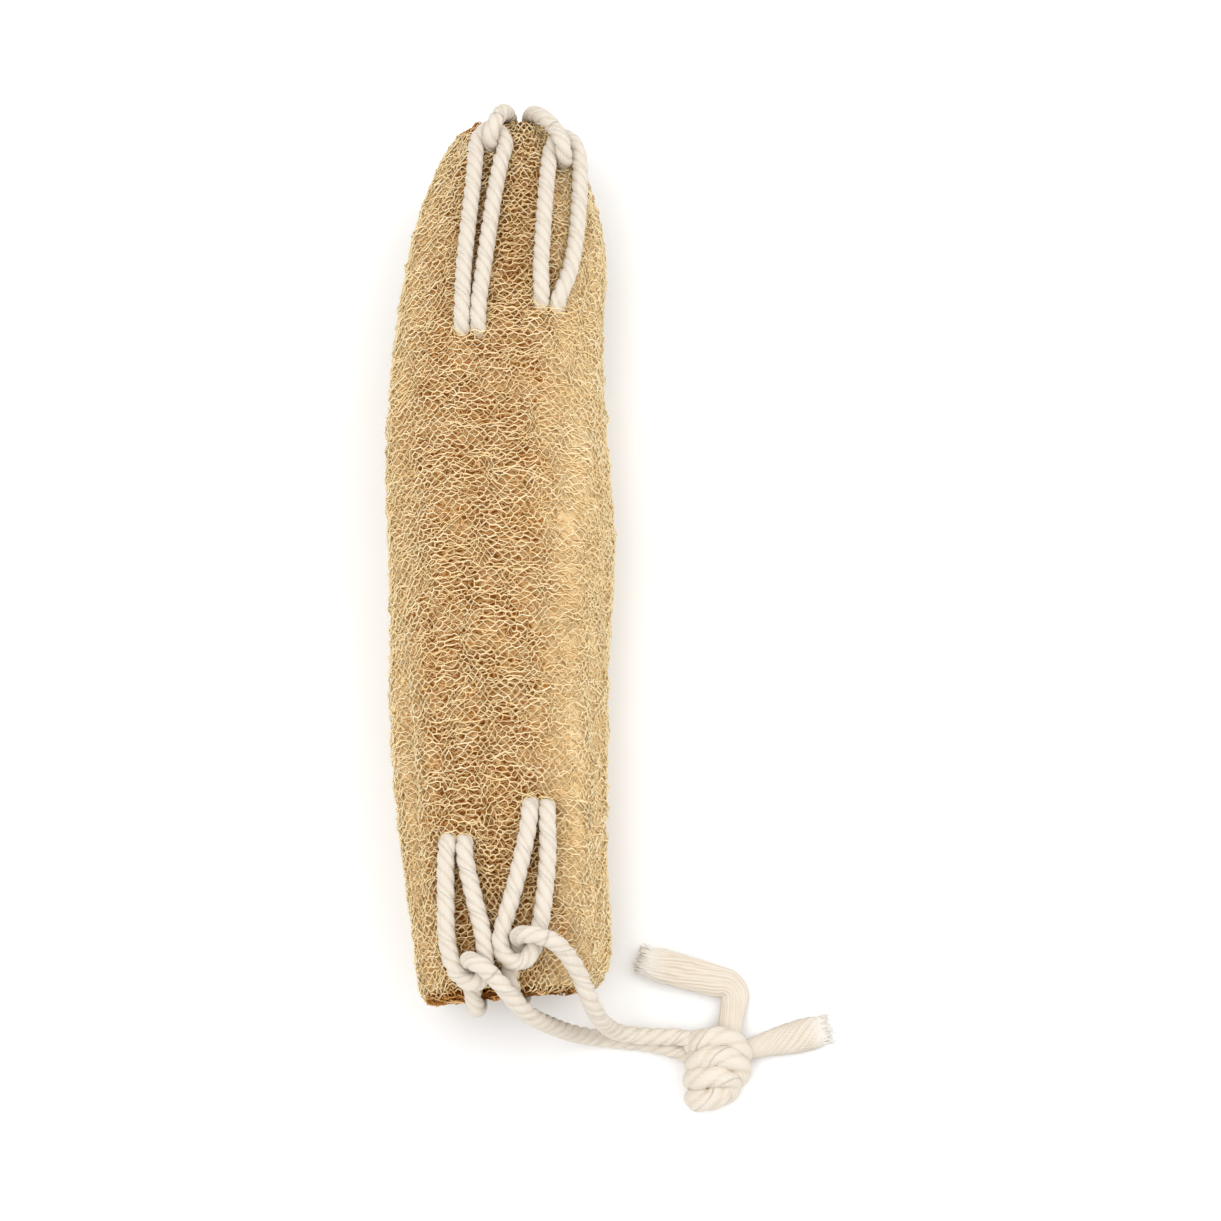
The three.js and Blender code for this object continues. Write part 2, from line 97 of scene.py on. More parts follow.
CUT_REACH = 0.09
LOBES = 3
LOBE_SWING = 0.12
GIRTH = 0.226
# Height of the ribs, then height, length, turns and phase of each row of lumps
RIB_HEIGHT = 0.00055
LUMPS = ((0.0005, 0.016, 2, 0), (0.0004, 0.027, -3, 1))
# Lengthwise creases: section angle, first and last place along, and depth
CREASES = ((0.62, 0.06, 0.13, 0.0022), (2.55, -0.125, -0.05, 0.002))
CREASE_WIDTH = 0.13
# The way over the rim and into the hollow: run past the rounding, inset from the end, share of the
# full section, share of the lobed form
END_WAY = np.array([
    (0.0000, 0.0070, 1.000, 0.0),
    (0.0038, 0.0032, 0.985, 0.0),
    (0.0064, 0.0008, 0.940, 0.0),
    (0.0083, 0.0000, 0.860, 0.0),
    (0.0123, 0.0006, 0.680, 0.2),
    (0.0164, 0.0016, 0.500, 0.8),
    (0.0199, 0.0050, 0.470, 1.0),
    (0.0749, 0.0600, 0.440, 1.0),
    (0.0790, 0.0635, 0.300, 1.0),
    (0.0840, 0.0645, 0.000, 1.0),
])
FACE_RUN = HALF_LENGTH - RIM_ROUNDING
NET_RUN = FACE_RUN + 0.024
CORE_RUN = FACE_RUN + 0.084
STRAY_RUN = FACE_RUN + 0.010
FLOOR_CLEARANCE = 0.0003

# Where the net lies open. The band: amount, middle from the top and half width in shares of the girth
BAND = (0.80, 0.034, 0.140)
LEAST_OPEN = 0.12
# Open places by the ropes, with painted shade over them: share of the girth from the top, place along,
# widths across and along, amount
OPEN_SPOTS = (
    (0.018, -0.127, 0.085, 0.030, 0.55),
    (-0.030, 0.125, 0.075, 0.036, 0.40),
)
# Where the outside ends and painted shade starts: run past the rounding, what the left side adds, and
# length of the change
RIM_START = (0.0042, 0.0018, 0.0025)
# Holes of the net: spacing of their pattern round and along and its looseness, half sizes of a large
# one, how far from its middle it still moves fibres, in half sizes, and how much
HOLE_SPACING = (0.0028, 0.0020)
HOLE_LOOSENESS = (0.32, 0.30)
HOLE_HALF = (0.00112, 0.00078)
HOLE_RANGE = (0.08, 1.30)
HOLE_REACH = 2.2
HOLE_PUSH = 0.60
# Nets: how far a ring draws near to the next, height of its weave, and looseness round and along
OUTER_MERGE, INNER_MERGE = 0.74, 0.70
OUTER_WEAVE, INNER_WEAVE = 0.0003, 0.0004
NET_LOOSENESS = (0.34, 0.30)
# The inner net against the outer one: fibre width, spacing and mesh width
INNER_SCALE = (1.2, 1.15, 1.1)
RUNG_SCALE = 0.8
STRAYS = 900
STRAY_STEPS = 11
STRAY_LENGTH = (0.006, 0.016)
# The body under the nets: its grid, depth under the skin, what openness and a hole add, least height
CORE_GRID = (380, 200)
CORE_DEPTH = (0.0011, 0.0014, 0.0014, 0.0012)
CORE_FLOOR = 0.0010
# Distance of fibres from a rope's middle, then a fibre's width over its circumradius and the angles of its
# three corners
ROPE_CLEARANCE = 0.0034
TUBE_SPAN = 1.65
FIBRE_CORNERS = (math.pi * 11 / 6, math.pi * 7 / 6, math.pi / 2)

# Rope routes: the middle of each rope, in the order knot, arm, threaded length, arm, knot
NEAR_LEFT_ARM = [
    (0.0007, -0.1610, 0.0570), (0.0036, -0.1637, 0.0554), (0.0082, -0.1684, 0.0496),
    (0.0132, -0.1720, 0.0405), (0.0194, -0.1732, 0.0270), (0.0260, -0.1740, 0.0150),
    (0.0330, -0.1744, 0.0066), (0.0410, -0.1749, 0.0034), (0.0547, -0.1764, 0.0031),
    (0.0625, -0.1784, 0.0040), (0.0695, -0.1808, 0.0054),
]
NEAR_HELD = [
    (0.0004, -0.1607, 0.0572), (-0.0014, -0.1590, 0.0582), (-0.0046, -0.1570, 0.0578),
    (-0.0069, -0.1556, 0.0548), (-0.0074, -0.1554, 0.0510), (-0.0073, -0.1582, 0.0468),
    (-0.0068, -0.1622, 0.0452), (-0.0061, -0.1660, 0.0434), (-0.0052, -0.1689, 0.0390),
    (-0.0049, -0.1682, 0.0334), (-0.0049, -0.1636, 0.0294), (-0.0053, -0.1500, 0.0274),
    (-0.0070, -0.1320, 0.0278), (-0.0105, -0.1195, 0.0315), (-0.0142, -0.1138, 0.0396),
    (-0.0152, -0.1130, 0.0468), (-0.0154, -0.1146, 0.0516), (-0.0156, -0.1180, 0.0533),
    (-0.0158, -0.1225, 0.0530), (-0.0155, -0.1343, 0.0522), (-0.0151, -0.1465, 0.0506),
    (-0.0136, -0.1540, 0.0504), (-0.0104, -0.1602, 0.0510), (-0.0056, -0.1629, 0.0516),
    (-0.0023, -0.1604, 0.0516), (-0.0017, -0.1544, 0.0516), (-0.0028, -0.1456, 0.0520),
    (-0.0057, -0.1345, 0.0528), (-0.0084, -0.1236, 0.0534), (-0.0094, -0.1184, 0.0535),
    (-0.0096, -0.1150, 0.0519), (-0.0094, -0.1130, 0.0472), (-0.0080, -0.1114, 0.0406),
    (-0.0010, -0.1075, 0.0348), (0.0060, -0.1043, 0.0354), (0.0114, -0.1018, 0.0410),
    (0.0128, -0.1004, 0.0480), (0.0129, -0.1022, 0.0534), (0.0128, -0.1056, 0.0551),
    (0.0122, -0.1108, 0.0552), (0.0094, -0.1245, 0.0548), (0.0068, -0.1348, 0.0540),
    (0.0040, -0.1446, 0.0528), (0.0034, -0.1496, 0.0526), (0.0054, -0.1542, 0.0528),
    (0.0096, -0.1560, 0.0530), (0.0136, -0.1532, 0.0530), (0.0154, -0.1480, 0.0524),
    (0.0169, -0.1420, 0.0518), (0.0183, -0.1310, 0.0526), (0.0192, -0.1170, 0.0532),
    (0.0189, -0.1070, 0.0540), (0.0187, -0.1028, 0.0526), (0.0185, -0.1006, 0.0474),
    (0.0176, -0.1010, 0.0414), (0.0150, -0.1044, 0.0344), (0.0132, -0.1140, 0.0288),
    (0.0124, -0.1350, 0.0270), (0.0112, -0.1550, 0.0272), (0.0102, -0.1640, 0.0294),
    (0.0096, -0.1670, 0.0334), (0.0086, -0.1670, 0.0390), (0.0074, -0.1642, 0.0432),
    (0.0064, -0.1606, 0.0454), (0.0068, -0.1560, 0.0460), (0.0084, -0.1510, 0.0468),
    (0.0094, -0.1479, 0.0506), (0.0096, -0.1473, 0.0548), (0.0116, -0.1474, 0.0582),
    (0.0152, -0.1478, 0.0594), (0.0182, -0.1486, 0.0588),
]
NEAR_RIGHT_ARM = [
    (0.0186, -0.1487, 0.0587), (0.0214, -0.1497, 0.0578), (0.0252, -0.1526, 0.0540),
    (0.0294, -0.1580, 0.0482), (0.0328, -0.1650, 0.0424), (0.0362, -0.1706, 0.0320),
    (0.0394, -0.1726, 0.0200), (0.0435, -0.1736, 0.0118), (0.0505, -0.1744, 0.0092),
    (0.0585, -0.1748, 0.0092), (0.0650, -0.1748, 0.0088), (0.0720, -0.1766, 0.0080),
]
NEAR_LONG_TAIL = [
    (0.0826, -0.1750, 0.0062), (0.0834, -0.1690, 0.0046), (0.0846, -0.1632, 0.0033),
    (0.0851, -0.1586, 0.0031), (0.0826, -0.1552, 0.0031), (0.0784, -0.1540, 0.0031),
]
NEAR_SHORT_TAIL = [
    (0.0846, -0.1804, 0.0056), (0.0908, -0.1782, 0.0042), (0.0974, -0.1762, 0.0032),
    (0.1032, -0.1748, 0.0031),
]
FAR_LEFT_ARM = [
    (-0.0021, 0.1622, 0.0577), (-0.0012, 0.1646, 0.0566), (0.0004, 0.1682, 0.0524),
    (0.0016, 0.1706, 0.0450), (0.0024, 0.1712, 0.0340), (0.0026, 0.1714, 0.0200),
    (0.0026, 0.1700, 0.0090), (0.0026, 0.1648, 0.0034), (0.0026, 0.1570, 0.0034),
    (0.0027, 0.1520, 0.0046),
]
FAR_HELD = [
    (-0.0023, 0.1616, 0.0579), (-0.0032, 0.1590, 0.0588), (-0.0042, 0.1562, 0.0578),
    (-0.0046, 0.1546, 0.0546), (-0.0045, 0.1552, 0.0504), (-0.0044, 0.1584, 0.0474),
    (-0.0042, 0.1626, 0.0468), (-0.0038, 0.1662, 0.0446), (-0.0032, 0.1672, 0.0404),
    (-0.0022, 0.1646, 0.0362), (-0.0006, 0.1580, 0.0336), (-0.0020, 0.1400, 0.0324),
    (-0.0050, 0.1100, 0.0320), (-0.0090, 0.0860, 0.0346), (-0.0124, 0.0776, 0.0410),
    (-0.0136, 0.0760, 0.0490), (-0.0137, 0.0790, 0.0564), (-0.0136, 0.0860, 0.0590),
    (-0.0134, 0.0996, 0.0582), (-0.0123, 0.1163, 0.0572), (-0.0109, 0.1332, 0.0562),
    (-0.0101, 0.1463, 0.0550), (-0.0098, 0.1536, 0.0536), (-0.0080, 0.1588, 0.0528),
    (-0.0044, 0.1610, 0.0528), (-0.0008, 0.1588, 0.0528), (0.0010, 0.1536, 0.0536),
    (-0.0004, 0.1462, 0.0550), (-0.0024, 0.1330, 0.0564), (-0.0044, 0.1162, 0.0574),
    (-0.0062, 0.0996, 0.0582), (-0.0076, 0.0860, 0.0590), (-0.0078, 0.0792, 0.0566),
    (-0.0068, 0.0762, 0.0494), (-0.0032, 0.0768, 0.0420), (0.0020, 0.0790, 0.0384),
    (0.0084, 0.0826, 0.0396), (0.0136, 0.0860, 0.0454), (0.0153, 0.0866, 0.0520),
    (0.0154, 0.0906, 0.0582), (0.0151, 0.0991, 0.0588), (0.0157, 0.1156, 0.0582),
    (0.0166, 0.1330, 0.0564), (0.0174, 0.1452, 0.0538), (0.0182, 0.1516, 0.0524),
    (0.0202, 0.1564, 0.0516), (0.0240, 0.1582, 0.0510), (0.0278, 0.1544, 0.0496),
    (0.0291, 0.1472, 0.0488), (0.0292, 0.1394, 0.0498), (0.0289, 0.1316, 0.0508),
    (0.0278, 0.1146, 0.0528), (0.0252, 0.0989, 0.0554), (0.0219, 0.0894, 0.0564),
    (0.0204, 0.0856, 0.0506), (0.0182, 0.0856, 0.0430), (0.0146, 0.0904, 0.0364),
    (0.0120, 0.1040, 0.0332), (0.0106, 0.1300, 0.0330), (0.0098, 0.1520, 0.0340),
    (0.0108, 0.1610, 0.0354), (0.0134, 0.1664, 0.0386), (0.0166, 0.1668, 0.0422),
    (0.0202, 0.1630, 0.0442), (0.0228, 0.1578, 0.0450), (0.0234, 0.1524, 0.0458),
    (0.0234, 0.1492, 0.0492), (0.0233, 0.1488, 0.0536), (0.0229, 0.1512, 0.0568),
    (0.0214, 0.1552, 0.0576), (0.0195, 0.1588, 0.0566),
]
FAR_RIGHT_ARM = [
    (0.0193, 0.1591, 0.0565), (0.0172, 0.1626, 0.0552), (0.0144, 0.1662, 0.0526),
    (0.0118, 0.1692, 0.0492), (0.0102, 0.1710, 0.0444), (0.0094, 0.1716, 0.0340),
    (0.0092, 0.1716, 0.0200), (0.0092, 0.1700, 0.0090), (0.0092, 0.1646, 0.0034),
    (0.0092, 0.1570, 0.0036), (0.0090, 0.1520, 0.0048),
]
FAR_LONG_TAIL = [
    (0.0034, 0.1404, 0.0052), (0.0016, 0.1336, 0.0034), (-0.0010, 0.1280, 0.0031),
    (-0.0044, 0.1226, 0.0031),
]
FAR_SHORT_TAIL = [
    (0.0086, 0.1412, 0.0052), (0.0116, 0.1350, 0.0034), (0.0144, 0.1310, 0.0031),
]

# Arm, threaded length and arm of each rope
ROPES = {
    "near": (NEAR_LEFT_ARM, NEAR_HELD, NEAR_RIGHT_ARM),
    "far": (FAR_LEFT_ARM, FAR_HELD, FAR_RIGHT_ARM),
}
ROPE_STEP = 0.0012
HELD_STEP = 0.0018
ROPE_PROFILE = 27
ROPE_STRANDS = 3
GROOVE_DEPTH = 0.22
UV_PER_METRE = 40
LONG_FRAY = 0.028
SHORT_FRAY = 0.015

# The knot: the middle of its rope, wound in four turns from the arms down, about its own middle
KNOT_ROUTE = [
    (-0.0080, 0.0062, -0.0010), (-0.0064, 0.0080, 0.0026), (-0.0006, 0.0092, 0.0036),
    (0.0054, 0.0078, 0.0028), (0.0086, 0.0040, -0.0008), (0.0046, 0.0026, -0.0034),
    (-0.0040, 0.0026, -0.0034), (-0.0080, 0.0014, -0.0008), (-0.0062, 0.0012, 0.0034),
    (-0.0004, 0.0026, 0.0056), (0.0054, 0.0012, 0.0042), (0.0082, -0.0022, -0.0004),
    (0.0046, -0.0044, -0.0034), (-0.0040, -0.0044, -0.0034), (-0.0080, -0.0048, -0.0006),
    (-0.0064, -0.0050, 0.0032), (-0.0006, -0.0042, 0.0044), (0.0036, -0.0050, 0.0026),
    (0.0044, -0.0080, -0.0012), (-0.0006, -0.0104, -0.0034), (-0.0054, -0.0108, -0.0032),
    (-0.0076, -0.0114, -0.0008), (-0.0058, -0.0122, 0.0018), (-0.0018, -0.0116, 0.0026),
    (0.0009, -0.0092, 0.0010), (0.0000, -0.0070, -0.0010),
]
KNOT_ROPE = 0.0086
KNOT_LAY = 0.0210
KNOT_GROOVE = 0.17
# Middle, turn about the vertical and size of each knot
KNOTS = {
    "near": ((0.0782, -0.1846, 0.0070), 0.0, 1.0),
    "far": ((0.0056, 0.1456, 0.0062), math.pi, 0.74),
}

# Opened tails: half width and half height at the knot, half width and half height near the end
LONG_TAIL_FORM = (0.0043, 0.0028, 0.0058, 0.0020)
SHORT_TAIL_FORM = (0.0032, 0.0029, 0.0056, 0.0024)
TAIL_STEP = 0.0009
TAIL_YARNS = 26
YARN_PROFILE = 6
# Name, route, frayed length, form, turns and seed of each tail
TAILS = (
    ("near_rope_long_tail", NEAR_LONG_TAIL, LONG_FRAY, LONG_TAIL_FORM, 0.25, 71),
    ("near_rope_short_tail", NEAR_SHORT_TAIL, SHORT_FRAY, SHORT_TAIL_FORM, 0.9, 72),
    ("far_rope_long_tail", FAR_LONG_TAIL, SHORT_FRAY, SHORT_TAIL_FORM, 0.5, 73),
    ("far_rope_short_tail", FAR_SHORT_TAIL, SHORT_FRAY, SHORT_TAIL_FORM, 0.9, 74),
)
# The fringe: radius and length of its yarn ends, which ring of the tail they start from, and the
# direction and angles that place their four corners
FRINGE_RADIUS = 0.00026
FRINGE_LENGTH = (0.0030, 0.0052)
FRINGE_RING = -5
FRINGE_UP = (0.02, 0.03, 1.0)
FRINGE_CORNERS = (0.0, -math.pi / 2, -math.pi, -math.pi * 3 / 2)
CUT_END = (0.79, 0.745, 0.68)


class LoofahSettings(PropertyGroup):
    """Sizes and colours of the sponge's fibre"""

    strand_width: FloatProperty(
        name="Strand width",
        description="Width of a ring of fibre of the outer net",
        default=0.00053,
        unit="LENGTH",
    )
    strand_spacing: FloatProperty(
        name="Strand spacing",
        description="Distance along the sponge from one ring of the outer net to the next",
        default=0.00176,
        unit="LENGTH",
    )
    mesh_width: FloatProperty(
        name="Mesh width",
        description="Width across the sponge of one mesh of the outer net",
        default=0.0030,
        unit="LENGTH",
    )
    pale: FloatVectorProperty(
        name="Pale straw",
        description="Colour of the palest fibres",
        default=(0.98, 0.835, 0.56),
        subtype="COLOR",
    )
    straw: FloatVectorProperty(
        name="Straw",
        description="Colour of most fibres",
        default=(0.92, 0.72, 0.40),
        subtype="COLOR",
    )
    amber: FloatVectorProperty(
        name="Amber",
        description="Colour of the deepest fibres",
        default=(0.58, 0.255, 0.05),
        subtype="COLOR",
    )


class RopeSettings(PropertyGroup):
    """Sizes and colour of the cotton ropes"""

    width: FloatProperty(
        name="Rope width",
        description="Width of the laid rope over its strands",
        default=0.0063,
        unit="LENGTH",
    )
    lay: FloatProperty(
        name="Lay",
        description="Length of rope in which a strand goes once round",
        default=0.0150,
        unit="LENGTH",
    )
    cotton: FloatVectorProperty(
        name="Cotton",
        description="Colour of the undyed cotton",
        default=(0.70, 0.632, 0.54),
        subtype="COLOR",
    )


def rounded(value):
    """Superellipse form of a cosine or sine: sign(v) |v|^(2/power)."""
    return np.sign(value) * np.abs(value) ** (2 / SECTION_POWER)


def along(column, y):
    """One station value at places y, by cubic Hermite pieces with central-difference slopes."""
    place = STATIONS[:, 0]
    value = STATIONS[:, column]
    slope = np.empty(len(place))
    slope[1:-1] = (value[2:] - value[:-2]) / (place[2:] - place[:-2])
    slope[0] = (value[1] - value[0]) / (place[1] - place[0])
    slope[-1] = (value[-1] - value[-2]) / (place[-1] - place[-2])
    at = np.clip(y, place[0], place[-1])
    k = np.clip(np.searchsorted(place, at) - 1, 0, len(place) - 2)
    h = place[k + 1] - place[k]
    t = (at - place[k]) / h
    return (
        (2 * t**3 - 3 * t**2 + 1) * value[k]
        + (t**3 - 2 * t**2 + t) * h * slope[k]
        + (3 * t**2 - 2 * t**3) * value[k + 1]
        + (t**3 - t**2) * h * slope[k + 1]
    )


def swell(angle, y):
    """Ribs, lumps and two lengthwise creases: sums of sines round and along, and bell-shaped dips."""
    rise = RIB_HEIGHT * np.cos(9 * angle + 1.2 * np.sin(y / 0.055))
    rise = rise + sum(
        height * np.sin(y / length + turns * angle + phase) for height, length, turns, phase in LUMPS
    )
    for where, first, last, depth in CREASES:
        across = np.exp(-(((angle - where) / CREASE_WIDTH) ** 2))
        lengthwise = np.exp(-(((y - (first + last) / 2) / ((last - first) / 2)) ** 4))
        rise = rise - depth * across * lengthwise
    return rise


def even_angles():
    """Table from share of the girth to section angle, so that fibres are spread evenly round."""
    angle = np.linspace(0, TURN, 2001)
    x = MID_SECTION[0] * rounded(np.cos(angle))
    z = MID_SECTION[1] * rounded(np.sin(angle))
    length = run_lengths(np.stack([x, z], -1))
    return length / length[-1], angle


def run_lengths(line):
    """Length along a line of points up to each of them."""
    return np.concatenate([[0], np.cumsum(np.linalg.norm(np.diff(line, axis=0), axis=1))])


GIRTH_SHARE, GIRTH_ANGLE = even_angles()


def skin(around, run):
    """A point of the sponge's surface: share of the girth, and run along the skin from the middle.

    Past the rim the run goes over the cut face and on into the hollow of the seed chambers.
    """
    angle = np.interp(around % 1, GIRTH_SHARE, GIRTH_ANGLE)
    past = np.maximum(np.abs(run) - FACE_RUN, 0)
    inset, shrink, lobed = (np.interp(past, END_WAY[:, 0], END_WAY[:, c]) for c in (1, 2, 3))
    y = np.where(past > 0, np.sign(run) * (HALF_LENGTH - inset), run)
    drift, half, under, top = (along(c, y) for c in (1, 2, 3, 4))
    lobes = 1 + lobed * LOBE_SWING * np.cos(LOBES * angle + math.pi / 2)
    rise = swell(angle, y) * shrink * (1 - lobed)
    x = drift + (half * shrink * lobes + rise) * rounded(np.cos(angle))
    z = (top + under) / 2 + ((top - under) / 2 * shrink * lobes + rise) * rounded(np.sin(angle))
    from_near = y + HALF_LENGTH
    lean = NEAR_SLANT * x / half + NEAR_UNDERCUT * (top - z)
    y = y + lean * np.exp(-from_near / CUT_FADE) * (from_near < CUT_REACH)
    return np.stack([x, y, z], -1)


def unit(vectors):
    """Vectors divided by their length."""
    return vectors / np.maximum(np.linalg.norm(vectors, axis=-1, keepdims=True), 1e-12)


def surface(around, run, rise):
    """Point of the skin moved out by rise along its normal, and the normal."""
    step_around, step_run = 0.002, 0.0006
    sideways = skin(around + step_around, run) - skin(around - step_around, run)
    lengthwise = skin(around, run + step_run) - skin(around, run - step_run)
    normal = unit(np.cross(lengthwise, sideways))
    point = skin(around, run) + np.asarray(rise)[..., None] * normal
    point[..., 2] = np.maximum(point[..., 2], FLOOR_CLEARANCE)
    return point, normal


def ripple(rng, around, run, waves, shortest, longest):
    """Sum of plane waves over the unrolled skin, of random direction and length, about 1 in size."""
    total = np.zeros(np.broadcast(around, run).shape)
    for _ in range(waves):
        length = math.exp(rng.uniform(math.log(shortest), math.log(longest)))
        heading = rng.uniform(0, math.pi)
        turns = round(GIRTH * math.cos(heading) / length)
        phase = TURN * (turns * around + run * math.sin(heading) / length)
        total += np.sin(phase + rng.uniform(0, 6.28))
    return total / math.sqrt(waves / 2)


def new_mesh(name, points, faces, values=None, uv=None):
    """A mesh object from points (n, 3) and a list of face arrays, each (m, corners)."""
    mesh = bpy.data.meshes.new(name)
    points = np.asarray(points, np.float32).reshape(-1, 3)
    corners = np.concatenate([f.reshape(-1) for f in faces]).astype(np.int32)
    sizes = np.concatenate([np.full(len(f), f.shape[1]) for f in faces])
    starts = np.concatenate([[0], np.cumsum(sizes)[:-1]]).astype(np.int32)
    mesh.vertices.add(len(points))
    mesh.vertices.foreach_set("co", points.reshape(-1))
    mesh.loops.add(len(corners))
    mesh.loops.foreach_set("vertex_index", corners)
    mesh.polygons.add(len(starts))
    mesh.polygons.foreach_set("loop_start", starts)
    mesh.polygons.foreach_set("use_smooth", np.ones(len(starts), bool))
    for label, value in (values or {}).items():
        layer = mesh.attributes.new(label, "FLOAT", "POINT")
        layer.data.foreach_set("value", np.asarray(value, np.float32).reshape(-1))
    if uv is not None:
        layer = mesh.uv_layers.new(name="UVMap")
        layer.data.foreach_set("uv", np.asarray(uv, np.float32)[corners].reshape(-1))
    mesh.update(calc_edges=True)
    mesh.validate()
    thing = bpy.data.objects.new(name, mesh)
    bpy.context.scene.collection.objects.link(thing)
    return thing


def dress(thing, material, slot, *nodes):
    """Gives a piece its material, ties it to the part's root body and hides the nodes it stands for; slot
    is not used.
    """
    thing.data.materials.append(material)
    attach(thing, "root")
    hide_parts(*nodes)


def tube_faces(rings, corners, closed=False):
    """Quads of a tube whose rings turn clockwise, seen along it: they face outwards."""
    row = np.arange(rings if closed else rings - 1)[:, None] * corners
    next_row = (row + corners) % (rings * corners)
    here = np.arange(corners)[None, :]
    after = (here + 1) % corners
    quads = (row + after, next_row + after, next_row + here, row + here)
    return np.stack(np.broadcast_arrays(*quads), -1).reshape(-1, 4)


def capped_faces(rings, corners, clockwise):
    """Quads of a tube and triangles to the poles that close its ends; the poles are its last two points."""
    ring = np.arange(corners)
    after = (ring + 1) % corners
    pole = rings * corners
    last = pole - corners
    faces = [
        tube_faces(rings, corners),
        np.stack([np.full(corners, pole), after, ring], -1),
        np.stack([np.full(corners, pole + 1), last + ring, last + after], -1),
    ]
    return faces if clockwise else [face[:, ::-1] for face in faces]


def tubes(paths, normals, radii, corners, closed=False):
    """Thin tubes along many paths at once, closed in a ring or by a face at each end.

    A corner of a tube is path + radius (cos a side + sin a up), with side = direction x normal and
    up = side x direction. The angles of the corners fall, so that the faces look outwards.
    """
    count, steps = paths.shape[:2]
    sides = len(corners)
    if closed:
        direction = unit(np.roll(paths, -1, 1) - np.roll(paths, 1, 1))
    else:
        direction = unit(np.gradient(paths, axis=1))
    side = unit(np.cross(direction, normals))
    up = np.cross(side, direction)
    ring = np.cos(corners)[:, None] * side[:, :, None, :] + np.sin(corners)[:, None] * up[:, :, None, :]
    points = paths[:, :, None, :] + radii[:, :, None, None] * ring
    first = np.arange(count) * steps * sides
    faces = [(tube_faces(steps, sides, closed)[None] + first[:, None, None]).reshape(-1, 4)]
    if not closed:
        cap = np.arange(sides)[None]
        faces += [first[:, None] + cap[:, ::-1], first[:, None] + (steps - 1) * sides + cap]
    return points.reshape(-1, 3), faces


def clear_of_ropes(points, lines, gap):
    """Moves points that lie within gap of a rope's middle straight out to that distance."""
    at_once = 6000
    flat = points.reshape(-1, 3).copy()
    for line in lines:
        low = line.min(0) - gap
        high = line.max(0) + gap
        near = np.flatnonzero(((flat > low) & (flat < high)).all(1))
        for some in np.array_split(near, max(1, len(near) // at_once)):
            away = flat[some][:, None, :] - line[None]
            distance = np.linalg.norm(away, axis=2)
            nearest = distance.argmin(1)
            rows = np.arange(len(some))
            close = distance[rows, nearest]
            flat[some] += unit(away[rows, nearest]) * np.maximum(gap - close, 0)[:, None]
    flat[:, 2] = np.maximum(flat[:, 2], FLOOR_CLEARANCE)
    return flat.reshape(points.shape)


def from_top(around):
    """Share of the girth from the middle of the top, -0.5 to 0.5."""
    return (around + 0.25) % 1 - 0.5


def by_the_ropes(around, run):
    """The places that the ropes' loops lie over, where the net is torn open and painted shade darkens the
    fibre: bell-shaped over the unrolled skin.
    """
    across = from_top(around)
    return sum(
        amount * np.exp(-(((across - where) / wide) ** 2) - ((run - middle) / long) ** 2)
        for where, middle, wide, long, amount in OPEN_SPOTS
    )


def openness(around, run):
    """How open the net lies, 0 to 1: wide meshes in a band left of the middle of the top and by the ropes.

    The right third of the top, the sides and the underside are dense and pale.
    """
    amount, middle, half = BAND
    band = amount * np.exp(-(((from_top(around) - middle) / half) ** 4))
    return np.clip(band + by_the_ropes(around, run) + LEAST_OPEN, 0, 1)


def past_rim(around, run):
    """0 on the outside of the sponge, 1 on the cut faces and in the hollow, where the fibre gets painted
    shade, from sooner on the left.
    """
    past, lean, change = RIM_START
    start = FACE_RUN + past + lean * np.cos(TURN * around)
    return np.clip((np.abs(run) - start) / change, 0, 1)


def hole_pattern(rng):
    """Holes of the net, in a loose brick pattern over the unrolled skin: middles and half sizes.

    They are widest where the net is open, in patches, and next to nothing where it is dense.
    """
    columns = round(GIRTH / HOLE_SPACING[0])
    rows = round(2 * NET_RUN / HOLE_SPACING[1])
    row, column = np.mgrid[0:rows, 0:columns]
    astray, along_it = HOLE_LOOSENESS
    around = (column + 0.5 * (row % 2) + rng.uniform(-astray, astray, row.shape)) / columns
    run = -NET_RUN + (row + 0.5 + rng.uniform(-along_it, along_it, row.shape)) * HOLE_SPACING[1]
    patches = ripple(rng, around, run, waves=12, shortest=0.009, longest=0.030)
    size = openness(around, run) * (0.86 + 0.30 * patches)
    size = np.clip(size + rng.normal(0, 0.20, row.shape), *HOLE_RANGE)
    flat = rng.uniform(0.80, 1.15, row.shape)
    return around, run, HOLE_HALF[0] * size, HOLE_HALF[1] * size * flat


def near_holes(holes, around, run):
    """The nine holes of the pattern nearest to places that lie at run.

    Gives for each its index, whether it counts or repeats one at the pattern's edge, and how far
    round the place is from its middle, in half widths.
    """
    middle_around, middle_run, half_wide, _ = holes
    rows, columns = middle_run.shape
    row = np.floor((run + NET_RUN) / HOLE_SPACING[1]).astype(int)
    for up in (-1, 0, 1):
        r = np.clip(row + up, 0, rows - 1)
        nearest = np.rint(around * columns - 0.5 * (r % 2)).astype(int)
        for beside in (-1, 0, 1):
            hole = (r, (nearest + beside) % columns)
            x = ((around - middle_around[hole] + 0.5) % 1 - 0.5) * GIRTH / half_wide[hole]
            yield hole, r == row + up, x


